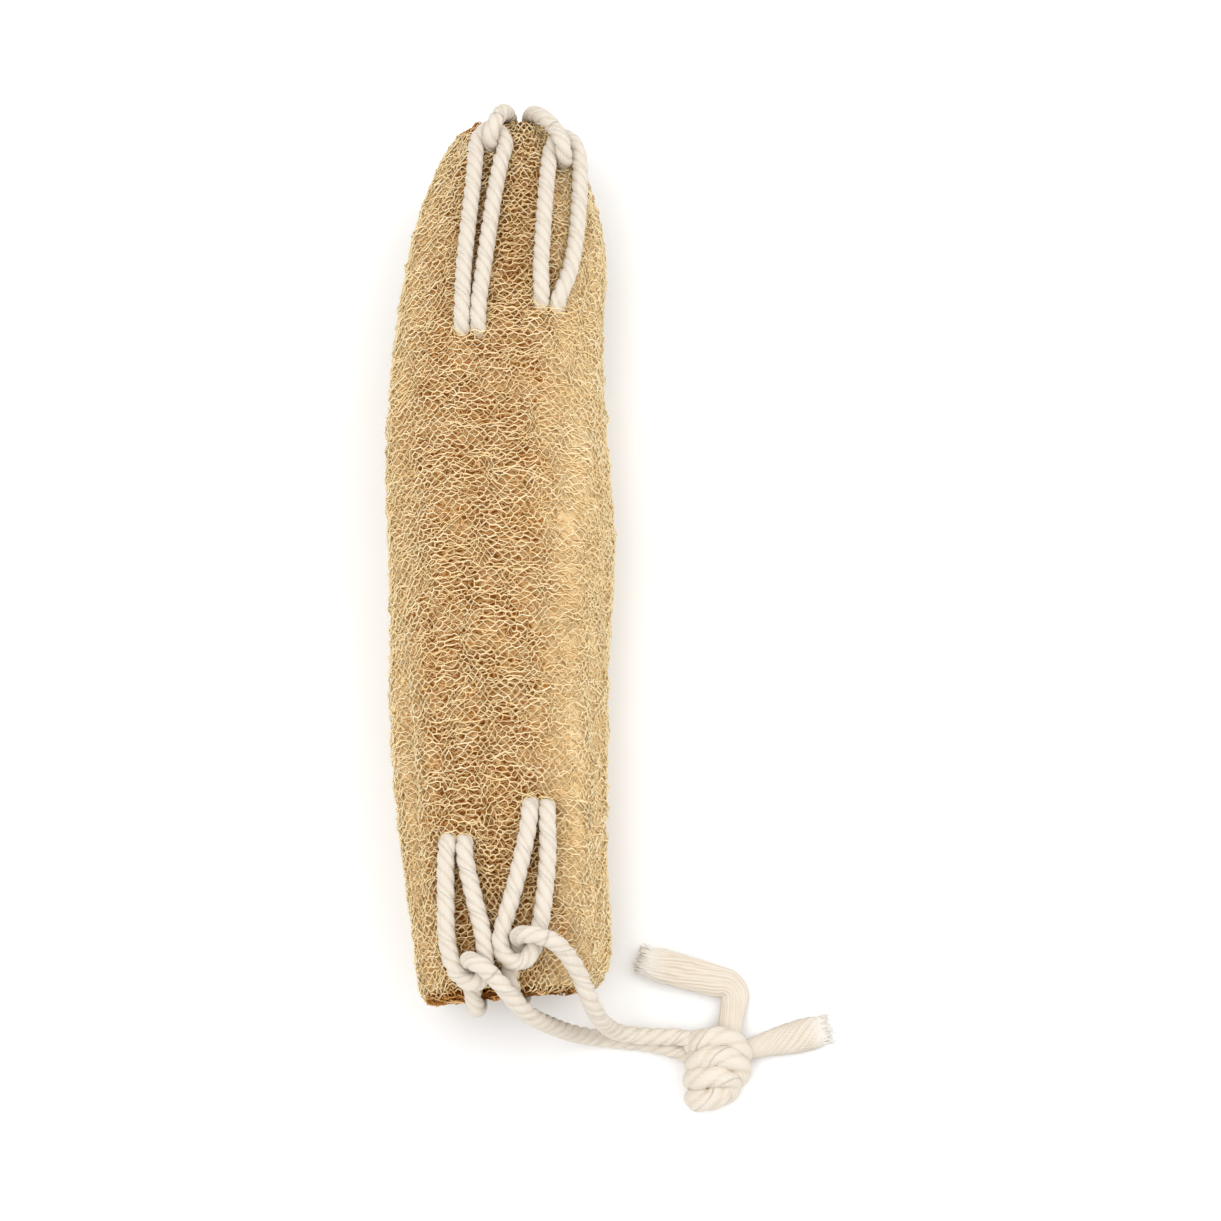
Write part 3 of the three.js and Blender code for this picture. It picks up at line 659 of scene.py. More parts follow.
def round_the_holes(holes, around, run, ring_run):
    """How far fibres move along the sponge to pass round the holes.

    A hole with half sizes a and b moves a point that lies (x a, y b) from its middle by
    b h (1 - |y| / reach) outwards, where h is the hole's height at x. A ring of fibre passes each
    hole wholly on the side where ring_run, its mean place, lies.
    """
    lip, bluntness, most = 1.15, 0.6, 1.25
    around, run, ring_run = np.broadcast_arrays(around, run, ring_run)
    moved = np.zeros(run.shape)
    for hole, counts, x in near_holes(holes, around, ring_run):
        middle, half = holes[1][hole], holes[3][hole]
        side = np.where(ring_run > middle, 1, -1)
        y = side * (run - middle) / half
        height = np.clip(1 - (x / lip) ** 2, 0, 1) ** bluntness
        moved += counts * side * height * half * np.clip(1 - y / HOLE_REACH, 0, most)
    return moved


def hole_depth(holes, around, run):
    """How far inside a hole a place lies: 1 in the middle of a large hole, 0 outside all of them."""
    outline = 1.75
    deepest = np.zeros(run.shape)
    for hole, _, x in near_holes(holes, around, run):
        y = (run - holes[1][hole]) / holes[3][hole]
        size = np.clip(holes[2][hole] / HOLE_HALF[0], 0, 1)
        deepest = np.maximum(deepest, size * np.clip(outline - np.hypot(x, y), 0, 1))
    return deepest


def drawn(around, run):
    """The unrolled skin drawn out of true, in the same way for every layer of fibre."""
    rng = np.random.default_rng(5)
    around = around + 0.0026 * ripple(rng, around, run, waves=14, shortest=0.008, longest=0.030)
    run = run + 0.00022 * ripple(rng, around, run, waves=18, shortest=0.006, longest=0.014)
    return around, run + 0.0006 * ripple(rng, around, run, waves=10, shortest=0.030, longest=0.080)


def net(rng, holes, spacing, mesh_width, merge, weave):
    """Rings of fibre round the sponge that draw near to their neighbours in turn, like a honeycomb.

    Ring i lies between node rows i and i + 1. At column j it draws near to row i where i + j is even
    and to row i + 1 where it is odd, all the way where merge is 1. Gives the place round and along,
    and the height of the weave.
    """
    rings = int(2 * NET_RUN / spacing)
    columns = 2 * round(GIRTH / mesh_width)
    i = np.arange(rings)[:, None]
    j = np.arange(columns)[None, :]
    touch = (i + j) % 2
    stray_around, stray_run = (
        rng.uniform(-most, most, (rings + 1, columns))[i + touch, j] for most in NET_LOOSENESS
    )
    around = (j + stray_around) / columns
    ring_run = -NET_RUN + (i + 0.5) * spacing
    run = ring_run + (merge * (touch - 0.5) + stray_run) * spacing
    run = run + rng.normal(0, 0.08, run.shape) * spacing
    run = run + HOLE_PUSH * round_the_holes(holes, around, run, ring_run)
    high = weave * rng.normal(0, 0.5, around.shape) + np.where((i % 2) == 0, 0.4, -0.4) * weave
    high = high + 0.0004 * ripple(rng, around, run, waves=16, shortest=0.006, longest=0.016)
    return around, run, high


def rungs(rng, holes, around, run, high):
    """Short fibres that join each ring of a net to the next where the two draw near.

    Each end lies a random part of the way from its column to the next. Some are left out: more of
    them where the net is dense, and some that would cross a hole.
    """
    rings, columns = around.shape
    i, j = np.mgrid[0 : rings - 1, 0:columns]
    i, j = (index[(i + j) % 2 == 1] for index in (i, j))
    kept = rng.random(len(i)) < 0.55 + 0.40 * openness(around[i, j], run[i, j])
    i, j = i[kept], j[kept]
    after = (j + 1) % columns
    wrap = np.where(after == 0, 1, 0)
    ends = []
    for ring in (i, i + 1):
        share = rng.uniform(0, 0.5, len(i))
        ends.append([
            values[ring, j] + share * (values[ring, after] + step - values[ring, j])
            for values, step in ((around, wrap), (run, 0), (high, 0))
        ])
    around, run, high = (np.stack([ends[0][k], ends[1][k]], 1) for k in range(3))
    free = rng.random(len(run)) > 0.35 * hole_depth(holes, around.mean(1), run.mean(1))
    return around[free], run[free], high[free]


def wandering(rng, count, steps, lengths, heading, sway):
    """Places of single fibres that stray over the net: a heading that sways about its mean."""
    t = np.linspace(0, 1, steps)[None, :]
    step = rng.uniform(*lengths, (count, 1)) / (steps - 1)
    waves = np.sin(TURN * (t * rng.uniform(0.8, 2.4, (count, 1)) + rng.random((count, 1))))
    turn = heading + sway * waves
    around = rng.random((count, 1)) + np.cumsum(np.cos(turn) * step, 1) / GIRTH
    run = rng.uniform(-STRAY_RUN, STRAY_RUN, (count, 1)) + np.cumsum(np.sin(turn) * step, 1)
    most = STRAY_RUN + 0.004
    return around, np.clip(run, -most, most), t


def smooth_line(route, step):
    """Evenly spaced points on a centripetal Catmull-Rom curve through a route."""
    p = np.asarray(route, float)
    p = np.vstack([2 * p[0] - p[1], p, 2 * p[-1] - p[-2]])
    share = np.linspace(0, 1, 24, endpoint=False)[:, None]
    pieces = []
    for a, b, c, d in zip(p[:-3], p[1:-2], p[2:-1], p[3:]):
        t1, t2, t3 = np.cumsum([max(np.linalg.norm(v), 1e-9) ** 0.5 for v in (b - a, c - b, d - c)])
        t = t1 + share * (t2 - t1)
        ab = (t1 - t) / t1 * a + t / t1 * b
        bc = (t2 - t) / (t2 - t1) * b + (t - t1) / (t2 - t1) * c
        cd = (t3 - t) / (t3 - t2) * c + (t - t2) / (t3 - t2) * d
        abc = (t2 - t) / t2 * ab + t / t2 * bc
        bcd = (t3 - t) / (t3 - t1) * bc + (t - t1) / (t3 - t1) * cd
        pieces.append((t2 - t) / (t2 - t1) * abc + (t - t1) / (t2 - t1) * bcd)
    line = np.vstack(pieces + [p[-2][None]])
    length = run_lengths(line)
    spots = np.linspace(0, length[-1], max(2, round(length[-1] / step) + 1))
    return np.stack([np.interp(spots, length, line[:, axis]) for axis in range(3)], -1)


def carried_frames(line):
    """Side and up at each point of a line, carried along it without twist."""
    direction = unit(np.gradient(line, axis=0))
    start = np.cross(direction[0], (0, 0, 1))
    if np.linalg.norm(start) < 0.1:
        start = np.cross(direction[0], (0, 1, 0))
    sides = [unit(start)]
    for vector in direction[1:]:
        side = sides[-1] - vector * np.dot(sides[-1], vector)
        sides.append(side / np.linalg.norm(side))
    side = np.array(sides)
    return side, np.cross(direction, side)


def laid_profile(width, groove):
    """Radius round a laid rope, its angles, and its painted groove shade: 1 on a strand, less in a groove
    between two.
    """
    angle = np.arange(ROPE_PROFILE) * TURN / ROPE_PROFILE
    third = TURN / ROPE_STRANDS
    offset = np.abs((angle + third / 2) % third - third / 2) / (third / 2)
    return width / 2 * (1 - groove * offset**2.6), angle, 1 - 2.6 * groove * offset**9


def laid_rope(line, width, lay, groove=GROOVE_DEPTH):
    """Grid of points of a twisted rope: the profile turns once in each lay length along the line."""
    side, up = carried_frames(line)
    length = run_lengths(line)[:, None]
    radius, angle, groove_shading = laid_profile(width, groove)
    angle = angle[None, :] - TURN * length / lay
    ring = np.cos(angle)[..., None] * side[:, None] + np.sin(angle)[..., None] * up[:, None]
    points = line[:, None] + radius[None, :, None] * ring
    groove_shading = np.broadcast_to(groove_shading[None, :], points.shape[:2])
    uv = np.stack([angle / TURN, np.broadcast_to(length * UV_PER_METRE, angle.shape)], -1)
    return points, groove_shading, uv


def rope_mesh(name, points, groove_shading, uv, cut=0.0):
    """A rope from its grid of rings, with a pole in each end."""
    rings, corners = points.shape[:2]
    flat = np.vstack([points.reshape(-1, 3), points[0].mean(0), points[-1].mean(0)])
    flat[:, 2] = np.maximum(flat[:, 2], 0.0)
    cut = np.broadcast_to(cut, points.shape[:2])
    values = {"groove_shading": np.concatenate([groove_shading.reshape(-1), [0.8, 0.8]])}
    values["cut"] = np.concatenate([cut.reshape(-1), [cut[0, 0], cut[-1, 0]]])
    uv = np.vstack([uv.reshape(-1, 2), uv[0].mean(0), uv[-1].mean(0)])
    return new_mesh(name, flat, capped_faces(rings, corners, clockwise=True), values, uv)


def tail_body(route, fray, form, turns):
    """Grid of an opened rope end: a bundle that widens to a flat band, with its yarns as ridges.

    The section is an ellipse, drawn out and in by the sum of two cosines. The phase of the first
    counts the yarns round the section, turned along the tail and swayed by sines. The second breaks
    their evenness.
    """
    line = np.asarray(route, float)
    forward = unit((line[-1] - line[-2]) * np.array([1, 1, 0]))
    line = np.vstack([line, line[-1] + forward * fray * 0.5, line[-1] + forward * fray])
    middle = smooth_line(line, TAIL_STEP)
    direction = unit(np.gradient(middle, axis=0))
    side = unit(np.cross((0, 0, 1), direction))
    up = np.cross(direction, side)
    t = np.linspace(0, 1, len(middle))[:, None]
    opened = np.clip(t / 0.75, 0, 1)
    opened = opened * opened * (3 - 2 * opened)
    angle = np.arange(TAIL_YARNS * YARN_PROFILE)[None] * TURN / (TAIL_YARNS * YARN_PROFILE)
    turned = angle + TURN * turns * t
    sway = 0.9 * opened * np.sin(24 * t + 3 * angle) + 0.3 * np.sin(51 * t - 5 * angle)
    phase = TAIL_YARNS * turned + sway
    beat = np.cos(phase) + 0.8 * np.cos(0.58 * phase + 2.6 * np.sin(2 * angle + 9 * t))
    ring = 1 + (0.010 + 0.034 * opened) * beat
    ring = ring * np.sqrt(1 - 0.75 * np.clip((t - 0.84) / 0.16, 0, 1) ** 2)
    wide = (form[0] + opened * (form[2] - form[0])) * ring * np.cos(angle)
    high = (form[1] + opened * (form[3] - form[1])) * ring * np.sin(angle)
    points = middle[:, None] + wide[..., None] * side[:, None] + high[..., None] * up[:, None]
    # Painted shade: the yarns' ridges are painted lighter and the grooves between them darker
    groove_shading = 0.90 + (0.02 + 0.17 * opened) * beat
    length = t * TAIL_STEP * len(middle) * UV_PER_METRE
    uv = np.stack(np.broadcast_arrays(1.6 * turned / TURN, length), -1)
    cut = np.clip((t - 0.80) / 0.16, 0, 1)
    return points, groove_shading, uv, cut, forward


def fringe(rng, points, forward):
    """Middles and radii of fine yarn ends that stand out of the end of a tail."""
    ring = points[FRINGE_RING]
    roots = ring[::2] * 0.9 + ring.mean(0) * 0.1
    t = np.linspace(0, 1, 5)[None, :, None]
    reach = rng.uniform(*FRINGE_LENGTH, (len(roots), 1, 1))
    astray = rng.normal(0, 0.0006, (len(roots), 1, 3)) * np.array([1, 1, 0.5])
    paths = roots[:, None] + t * reach * forward + t * t * astray
    paths[..., 2] = np.maximum(paths[..., 2], FRINGE_RADIUS)
    return paths, np.full(paths.shape[:2], FRINGE_RADIUS) * np.linspace(1.1, 0.7, 5)


def knot_line(middle, turn, size):
    """The knot's route, turned about the vertical, scaled and set at its place."""
    x, y, z = np.array(KNOT_ROUTE).T * size
    turned = (x * math.cos(turn) - y * math.sin(turn), x * math.sin(turn) + y * math.cos(turn), z)
    return smooth_line(np.stack(turned, -1) + np.array(middle), ROPE_STEP)


def painted_shade(around, run, in_open, by_ropes, past):
    """How much painted shade darkens fibre where the net lies open, by the ropes and past the rim, by their
    amounts.
    """
    amount = in_open * openness(around, run) + by_ropes * by_the_ropes(around, run)
    return amount + past * past_rim(around, run)


def fill(shading, inputs):
    """Links or sets inputs of a shading node."""
    for socket, value in inputs.items():
        if isinstance(value, bpy.types.NodeSocket):
            shading.id_data.links.new(value, shading.inputs[socket])
        else:
            shading.inputs[socket].default_value = value


def shader(name):
    """A new node material, its Principled shader, and a helper that adds nodes and fills their inputs."""
    material = bpy.data.materials.new(name)
    material.use_nodes = True
    tree = material.node_tree

    def node(kind, inputs=None, **settings):
        made = tree.nodes.new(kind)
        for label, value in settings.items():
            setattr(made, label, value)
        fill(made, inputs or {})
        return made

    return material, tree.nodes["Principled BSDF"], node


def added(node, value, amount, base):
    """Base plus value times amount."""
    return node("ShaderNodeMath", {0: value, 1: amount, 2: base}, operation="MULTIPLY_ADD").outputs[0]


def colour_steps(ramp, steps):
    """Sets a colour ramp's stops from (place, colour) pairs."""
    stops = ramp.color_ramp.elements
    while len(stops) < len(steps):
        stops.new(0.5)
    for stop, (place, colour) in zip(stops, steps):
        stop.position = place
        stop.color = (*colour, 1)


def fibre_colour(node, settings, tone):
    """Colour of dry fibre by its tone: dark red-brown as painted shade in holes and hollows, amber, straw,
    and pale on top, where fibres high in the weave are painted lighter.
    """
    ramp = node("ShaderNodeValToRGB", {"Fac": tone})
    amber, straw, pale = (np.array(c) for c in (settings.amber, settings.straw, settings.pale))
    tan = 0.38 * amber + 0.62 * straw
    # Painted shade: the lowest stop is a darker red-brown for the holes and the hollows past the rim
    deep = amber * np.array([0.36, 0.26, 0.16])
    colour_steps(ramp, [(0.0, deep), (0.14, amber), (0.36, tan), (0.64, straw), (1.0, pale)])
    return ramp.outputs["Color"]


def fibre_material(settings):
    """Dry plant fibre, with its tone varied along the fibre and in patches."""
    material, principled, node = shader("loofah_fibre")
    place = node("ShaderNodeTexCoord").outputs["Object"]
    # The tone attribute holds the fibre's own varied straw colour and its painted shade
    tone = node("ShaderNodeAttribute", attribute_name="tone").outputs["Fac"]
    for scale, amount in ((900.0, 0.30), (70.0, 0.24)):
        noise = node("ShaderNodeTexNoise", {"Vector": place, "Scale": scale, "Detail": 3.0})
        tone = added(node, noise.outputs["Fac"], amount, tone)
    tone = node("ShaderNodeMath", {0: tone, 1: 0.27}, operation="SUBTRACT").outputs[0]
    colour = fibre_colour(node, settings, tone)
    fill(principled, {"Base Color": colour, "Roughness": 0.62, "Specular IOR Level": 0.15})
    return material


def core_material(settings):
    """The fibre mass under the nets: threads over depth, from cell edges on the unrolled skin."""
    material, principled, node = shader("loofah_depth")
    uv = node("ShaderNodeUVMap", uv_map="UVMap").outputs["UV"]
    bent = node("ShaderNodeTexNoise", {"Vector": uv, "Scale": 0.35, "Detail": 2.0})
    mixed = {"Factor": 0.35, 4: uv, 5: bent.outputs["Color"]}
    moved = node("ShaderNodeMix", mixed, data_type="VECTOR").outputs[1]
    cells = node("ShaderNodeMapping", {"Vector": moved, "Scale": (0.55, 1.1, 1.0)}).outputs["Vector"]
    walls = node("ShaderNodeTexVoronoi", {"Vector": cells, "Scale": 1.0}, feature="DISTANCE_TO_EDGE")
    away = walls.outputs["Distance"]
    fading = {"Value": away, "From Min": 0.02, "From Max": 0.16, "To Min": 1.0, "To Max": 0.0}
    thread = node("ShaderNodeMapRange", fading, interpolation_type="SMOOTHSTEP").outputs["Result"]
    # The tone attribute holds painted shade of the open net, the holes, the rope spots and the hollows
    tone = node("ShaderNodeAttribute", attribute_name="tone").outputs["Fac"]
    colour = fibre_colour(node, settings, added(node, thread, 0.30, tone))
    bump = node("ShaderNodeBump", {"Height": thread, "Strength": 0.6, "Distance": 0.0006})
    fill(principled, {
        "Base Color": colour,
        "Roughness": 0.85,
        "Specular IOR Level": 0.08,
        "Normal": bump.outputs["Normal"],
    })
    return material


def cotton_material(settings):
    """Undyed cotton: cream with fine yarns along the rope, painted darker and warmer as shade in the
    grooves, greyer at cut ends.
    """
    material, principled, node = shader("cotton_rope")
    uv = node("ShaderNodeUVMap", uv_map="UVMap").outputs["UV"]
    drawn_out = node("ShaderNodeMapping", {"Vector": uv, "Scale": (34.0, 3.0, 1.0)}).outputs["Vector"]
    fine = {"Vector": drawn_out, "Scale": 1.0, "Detail": 3.0, "Roughness": 0.6}
    yarn = node("ShaderNodeTexNoise", fine).outputs["Fac"]
    place = node("ShaderNodeTexCoord").outputs["Object"]
    patch = node("ShaderNodeTexNoise", {"Vector": place, "Scale": 160.0, "Detail": 3.0}).outputs["Fac"]
    groove_shading = node("ShaderNodeAttribute", attribute_name="groove_shading").outputs["Fac"]
    tone = added(node, patch, 0.20, added(node, yarn, 0.50, groove_shading))
    tone = node("ShaderNodeMath", {0: tone, 1: 0.33}, operation="SUBTRACT").outputs[0]
    ramp = node("ShaderNodeValToRGB", {"Fac": tone})
    cotton = np.array(settings.cotton)
    # The lowest stop is painted shade: darker, warmer cotton for the grooves
    colour_steps(ramp, [
        (0.10, cotton * np.array([0.74, 0.64, 0.53])),
        (0.84, cotton * np.array([0.94, 0.91, 0.87])),
        (1.0, cotton * 1.04),
    ])
    cut = node("ShaderNodeAttribute", attribute_name="cut").outputs["Fac"]
    mixed = {0: cut, 6: ramp.outputs["Color"], 7: (*CUT_END, 1)}
    bump = node("ShaderNodeBump", {"Height": yarn, "Strength": 0.8, "Distance": 0.0004})
    fill(principled, {
        "Base Color": node("ShaderNodeMix", mixed, data_type="RGBA").outputs[2],
        "Roughness": 0.9,
        "Specular IOR Level": 0.2,
        "Sheen Weight": 0.15,
        "Sheen Roughness": 0.5,
        "Normal": bump.outputs["Normal"],
    })
    return material


def whole_route(routes):
    """A rope's route from knot to knot, from the routes of its arms and its threaded length."""
    left, held, right = routes
    return left[::-1] + held + right


class LOOFAH_OT_stage(Operator):
    """Camera, floor and soft light, as in the photograph"""

    bl_idname = "loofah.stage"
    bl_label = "Stage"

    def execute(self, context):
        scene = context.scene
        self.camera(scene)
        self.floor()
        for name, (place, size, power) in LAMPS.items():
            self.lamp(name, place, size, power)
        world = bpy.data.worlds.new("room")
        world.use_nodes = True
        fill(world.node_tree.nodes["Background"], {"Color": (1, 1, 1, 1), "Strength": ROOM_LIGHT})
        scene.world = world
        scene.view_settings.view_transform = "Standard"
        return {"FINISHED"}

    def camera(self, scene):
        """Looks down along the sponge."""
        toward = Vector((0, math.cos(CAMERA_ELEVATION), -math.sin(CAMERA_ELEVATION)))
        data = bpy.data.cameras.new("camera")
        data.sensor_width = SENSOR_WIDTH
        data.lens = SENSOR_WIDTH * FOCAL_OVER_WIDTH
        camera = bpy.data.objects.new("camera", data)
        camera.location = Vector(CAMERA_TARGET) - toward * CAMERA_DISTANCE
        camera.rotation_euler = toward.to_track_quat("-Z", "Y").to_euler()
        scene.collection.objects.link(camera)
        scene.camera = camera

    def floor(self):
        """One pale square under the part."""
        corners = np.array([(-1, -1, 0), (1, -1, 0), (1, 1, 0), (-1, 1, 0)]) * FLOOR_HALF
        floor = new_mesh("floor", corners - np.array([0, 0, FLOOR_DROP]), [np.array([[0, 1, 2, 3]])])
        material, principled, _ = shader("pale_floor")
        fill(principled, {"Base Color": (FLOOR_GREY, FLOOR_GREY, FLOOR_GREY, 1), "Roughness": 0.9})
        floor.data.materials.append(material)

    def lamp(self, name, place, size, power):
        """A square soft light that faces the sponge."""
        data = bpy.data.lights.new(name, "AREA")
        data.shape = "SQUARE"
        data.size = size
        data.energy = power
        lamp = bpy.data.objects.new(name, data)
        lamp.location = place
        lamp.rotation_euler = (-Vector(place)).to_track_quat("-Z", "Y").to_euler()
        bpy.context.scene.collection.objects.link(lamp)


class LOOFAH_OT_ropes(Operator):
    """Both cotton ropes: threaded lengths, free arms, knots and frayed tails"""

    bl_idname = "loofah.ropes"
    bl_label = "Cotton ropes"

    def execute(self, context):
        settings = context.scene.loofah_rope
        cotton = cotton_material(settings)
        for end, routes in ROPES.items():
            self.rope(end, routes, settings, cotton)
        for end, place in KNOTS.items():
            self.knot(end, place, cotton)
        for tail in TAILS:
            self.tail(*tail, cotton)
        for end, routes in ROPES.items():
            self.declare(end, routes, settings)
        return {"FINISHED"}

    def rope(self, end, routes, settings, material):
        """One rope, twisted in one run from knot to knot and divided where its free arms start."""
        line = smooth_line(whole_route(routes), ROPE_STEP)
        points, groove_shading, uv = laid_rope(line, settings.width, settings.lay)
        first, last = (
            np.linalg.norm(line - np.array(arm[0]), axis=1).argmin() for arm in (routes[0], routes[2])
        )
        spans = (
            ("left_arm", slice(0, first + 1)),
            ("threaded", slice(first, last + 1)),
            ("right_arm", slice(last, None)),
        )
        for label, span in spans:
            name = f"{end}_rope_{label}"
            piece = rope_mesh(name + "_cotton", points[span], groove_shading[span], uv[span])
            dress(piece, material, "cotton_rope", name)

    def knot(self, end, place, material):
        """The knot's four turns, drawn fuller and smoother than the rope."""
        middle, turn, size = place
        line = knot_line(middle, turn, size)
        points, groove_shading, uv = laid_rope(line, KNOT_ROPE * size, KNOT_LAY * size, KNOT_GROOVE)
        name = f"{end}_rope_knot"
        dress(rope_mesh(name + "_cotton", points, groove_shading, uv), material, "cotton_rope", name)

    def tail(self, name, route, fray, form, turns, seed, material):
        """A rope end that opens into its yarns, and the fringe at its cut end."""
        points, groove_shading, uv, cut, forward = tail_body(route, fray, form, turns)
        piece = rope_mesh(name + "_cotton", points, groove_shading, uv, cut)
        dress(piece, material, "cotton_rope", name)
        paths, radii = fringe(np.random.default_rng(seed), points, forward)
        corners, faces = tubes(paths, FRINGE_UP, radii, FRINGE_CORNERS)
        whole = np.ones(len(corners))
        uv = np.stack([whole * 0.3, corners[:, 0] * 200], -1)
        piece = new_mesh(name + "_fringe", corners, faces, {"groove_shading": whole, "cut": whole}, uv)
        dress(piece, material, "cotton_rope", name)

    def declare(self, end, routes, settings):
        """Does nothing; the arms are free cords that end in the knot and its tails."""


class LOOFAH_OT_sponge(Operator):
    """The sponge: outer net in three lengths, inner net, stray fibres and the depth under them"""

    bl_idname = "loofah.sponge"
    bl_label = "Fibre net"

    def execute(self, context):
        settings = context.scene.loofah_sponge
        fibre = fibre_material(settings)
        ropes = [smooth_line(whole_route(routes), HELD_STEP) for routes in ROPES.values()]
        holes = hole_pattern(np.random.default_rng(21))
        self.core(core_material(settings), holes)
        self.outer_net(settings, fibre, ropes, holes)
        self.inner_net(settings, fibre, ropes, holes)
        self.strays(settings, fibre, ropes, holes)
        return {"FINISHED"}

    def core(self, material, holes):
        """Closed body under the nets, over the rims and into both hollows, deep where the net is open."""
        rows, columns = CORE_GRID
        run = np.linspace(-CORE_RUN, CORE_RUN, rows)[1:-1, None]
        around = np.arange(columns)[None, :] / columns
        run, around = np.broadcast_arrays(run, around)
        open_here = openness(around, run)
        inside = past_rim(around, run)
        hole = hole_depth(holes, around, run) * open_here
        depth, in_open, in_hole, in_hollow = CORE_DEPTH
        sunk = np.maximum(in_open * open_here + in_hole * hole, in_hollow * inside)
        points, _ = surface(*drawn(around, run), -depth - sunk)
        points[..., 2] = np.maximum(points[..., 2], CORE_FLOOR)
        points = np.vstack([points.reshape(-1, 3), points[0].mean(0), points[-1].mean(0)])
        # Painted shade: the body is painted darker where the net is open, in the holes, by the ropes, and
        # most on the cut faces and in the hollows
        tone = 0.60 - 0.42 * open_here - 0.60 * hole - 0.34 * by_the_ropes(around, run)
        tone = (np.maximum(tone, 0.03) - 0.6 * inside).reshape(-1)
        uv = np.stack([around * GIRTH * 1000, run * 1000], -1).reshape(-1, 2)
        uv = np.vstack([uv, [[0, 0], [0, 0]]])
        faces = capped_faces(rows - 2, columns, clockwise=False)
        values = {"tone": np.concatenate([tone, [0, 0]])}
        dress(new_mesh("loofah_depth", points, faces, values, uv), material, "loofah_fibre", "loofah")

    def outer_net(self, settings, material, ropes, holes):
        """The fine net that gives the sponge its look: rings in three pieces, and rungs."""
        rng = np.random.default_rng(11)
        width, mesh_width = settings.strand_width, settings.mesh_width
        around, run, high = net(rng, holes, settings.strand_spacing, mesh_width, OUTER_MERGE, OUTER_WEAVE)
        # Painted shade: fibre lower in the weave is painted darker and higher fibre lighter, and painted
        # shade darkens it where the net is open, by the ropes and past the rim
        tone = 0.79 + 150 * high - painted_shade(around, run, in_open=0.03, by_ropes=0.24, past=0.70)
        tone = tone + rng.normal(0, 0.06, (len(tone), 1))
        tone = tone + 0.05 * ripple(rng, around, run, waves=8, shortest=0.012, longest=0.05)
        parts = np.array_split(np.arange(len(run)), 3)
        for label, some in zip(("near", "middle", "far"), parts):
            fibres = (around[some], run[some], high[some], width, tone[some])
            self.fibres(f"loofah_net_{label}", fibres, ropes, material, rng)
        short = rungs(rng, holes, around, run, high)
        self.short_fibres("loofah_net_rungs", short, width * RUNG_SCALE, 0.76, ropes, material, rng)

    def inner_net(self, settings, material, ropes, holes):
        """A coarser, darker net under the outer one, deeper where the net is open."""
        rng = np.random.default_rng(12)
        sizes = (settings.strand_width, settings.strand_spacing, settings.mesh_width)
        width, spacing, mesh_width = (size * scale for size, scale in zip(sizes, INNER_SCALE))
        around, run, high = net(rng, holes, spacing, mesh_width, INNER_MERGE, INNER_WEAVE)
        # Painted shade: fibre lower in the weave is painted darker, with more painted shade where the net
        # is open, by the ropes and past the rim
        tone = 0.60 + 120 * high - painted_shade(around, run, in_open=0.28, by_ropes=0.16, past=0.60)
        high = high - 0.0007 - 0.0006 * openness(around, run)
        self.fibres("loofah_inner_net", (around, run, high, width, tone), ropes, material, rng)
        short = rungs(rng, holes, around, run, high)
        self.short_fibres("loofah_inner_rungs", short, width * RUNG_SCALE, 0.54, ropes, material, rng)

    def short_fibres(self, name, short, width, tone, ropes, material, rng):
        """The short fibres between the rings of one net."""
        around, run, high = short
        # Painted shade: lower fibre painted darker, and painted shade where the net is open and past the
        # rim
        tone = tone + 120 * high - painted_shade(around, run, in_open=0.20, by_ropes=0, past=0.60)
        self.fibres(name, (around, run, high, width, tone), ropes, material, rng, closed=False)

    def strays(self, settings, material, ropes, holes):
        """Single fibres over the net and out of its outline."""
        rng = np.random.default_rng(13)
        heading = rng.normal(0, 0.20, (STRAYS, 1))
        around, run, t = wandering(rng, STRAYS, STRAY_STEPS, STRAY_LENGTH, heading, sway=0.36)
        run = run + round_the_holes(holes, around, run, run)
        ends = 1 - np.abs(2 * t - 1) ** 3
        high = -0.0006 + ends * (0.0009 + 0.0003 * rng.normal(0, 1, (STRAYS, 1)))
        tone = 0.80 + rng.normal(0, 0.08, (STRAYS, 1))
        # Painted shade where the net is open, by the ropes and past the rim
        tone = tone - painted_shade(around, run, in_open=0.14, by_ropes=0.24, past=0.4)
        width = settings.strand_width * (0.35 + 0.55 * ends) * rng.uniform(0.75, 1.15, (STRAYS, 1))
        fibres = (around, run, high, width, tone)
        self.fibres("loofah_stray_fibres", fibres, ropes, material, rng, closed=False)

    def fibres(self, name, fibres, ropes, material, rng, closed=True):
        """One piece of many fibres, kept clear of the ropes."""
        around, run, high, width, tone = fibres
        points, normals = surface(*drawn(around, run), high)
        points = clear_of_ropes(points, ropes, ROPE_CLEARANCE)
        radii = width / TUBE_SPAN * np.clip(rng.normal(1, 0.2, around.shape), 0.5, 1.6)
        corners, faces = tubes(points, normals, radii, FIBRE_CORNERS, closed)
        corners[:, 2] = np.maximum(corners[:, 2], 0.0)
        tone = np.repeat(np.broadcast_to(tone, around.shape).reshape(-1), len(FIBRE_CORNERS))
        dress(new_mesh(name, corners, faces, {"tone": tone}), material, "loofah_fibre", "loofah")


class LOOFAH_PT_panel(Panel):
    """Sizes, colours and steps of the loofah sponge"""

    bl_idname = "LOOFAH_PT_panel"
    bl_label = "Loofah sponge"
    bl_space_type = "VIEW_3D"
    bl_region_type = "UI"
    bl_category = "Loofah"

    def draw(self, context):
        layout = self.layout
        for settings in (context.scene.loofah_sponge, context.scene.loofah_rope):
            column = layout.column(align=True)
            for label in settings.bl_rna.properties.keys():
                if label not in ("rna_type", "name"):
                    column.prop(settings, label)
        for operator in OPERATORS:
            layout.operator(operator.bl_idname)


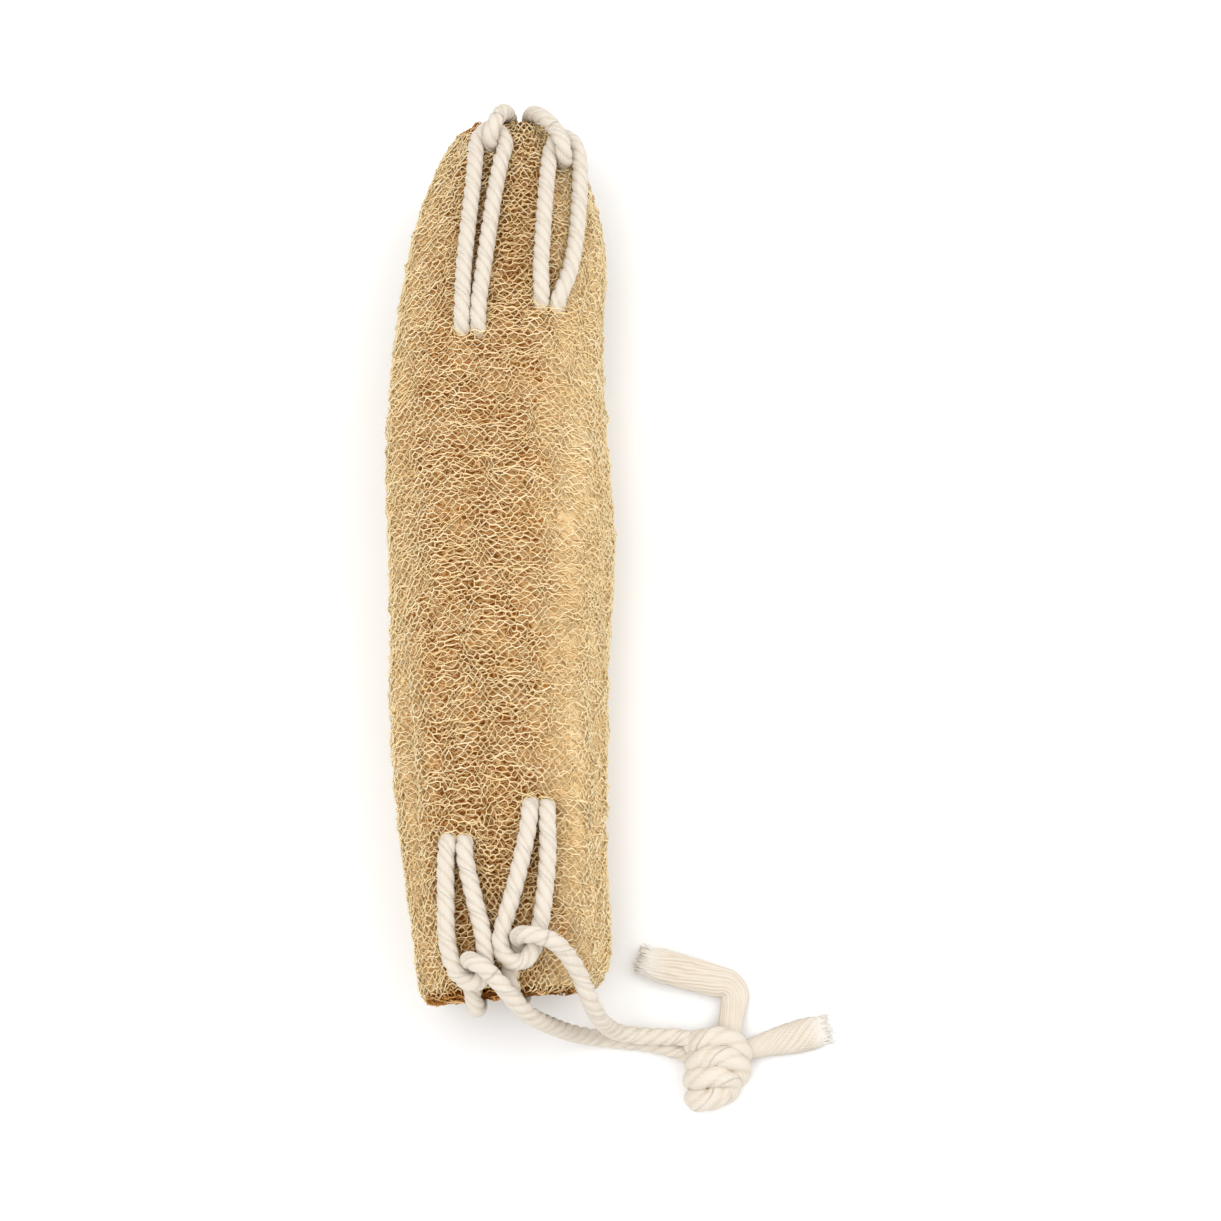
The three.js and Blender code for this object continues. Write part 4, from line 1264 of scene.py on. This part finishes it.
OPERATORS = (LOOFAH_OT_stage, LOOFAH_OT_ropes, LOOFAH_OT_sponge)
CLASSES = (LoofahSettings, RopeSettings, *OPERATORS, LOOFAH_PT_panel)


def register():
    for item in CLASSES:
        bpy.utils.register_class(item)
    bpy.types.Scene.loofah_sponge = PointerProperty(type=LoofahSettings)
    bpy.types.Scene.loofah_rope = PointerProperty(type=RopeSettings)


def unregister():
    del bpy.types.Scene.loofah_rope
    del bpy.types.Scene.loofah_sponge
    for item in reversed(CLASSES):
        bpy.utils.unregister_class(item)


def main():
    register()
    bpy.ops.loofah.stage()
    bpy.ops.loofah.ropes()
    bpy.ops.loofah.sponge()


if __name__ == "__main__":
    main()
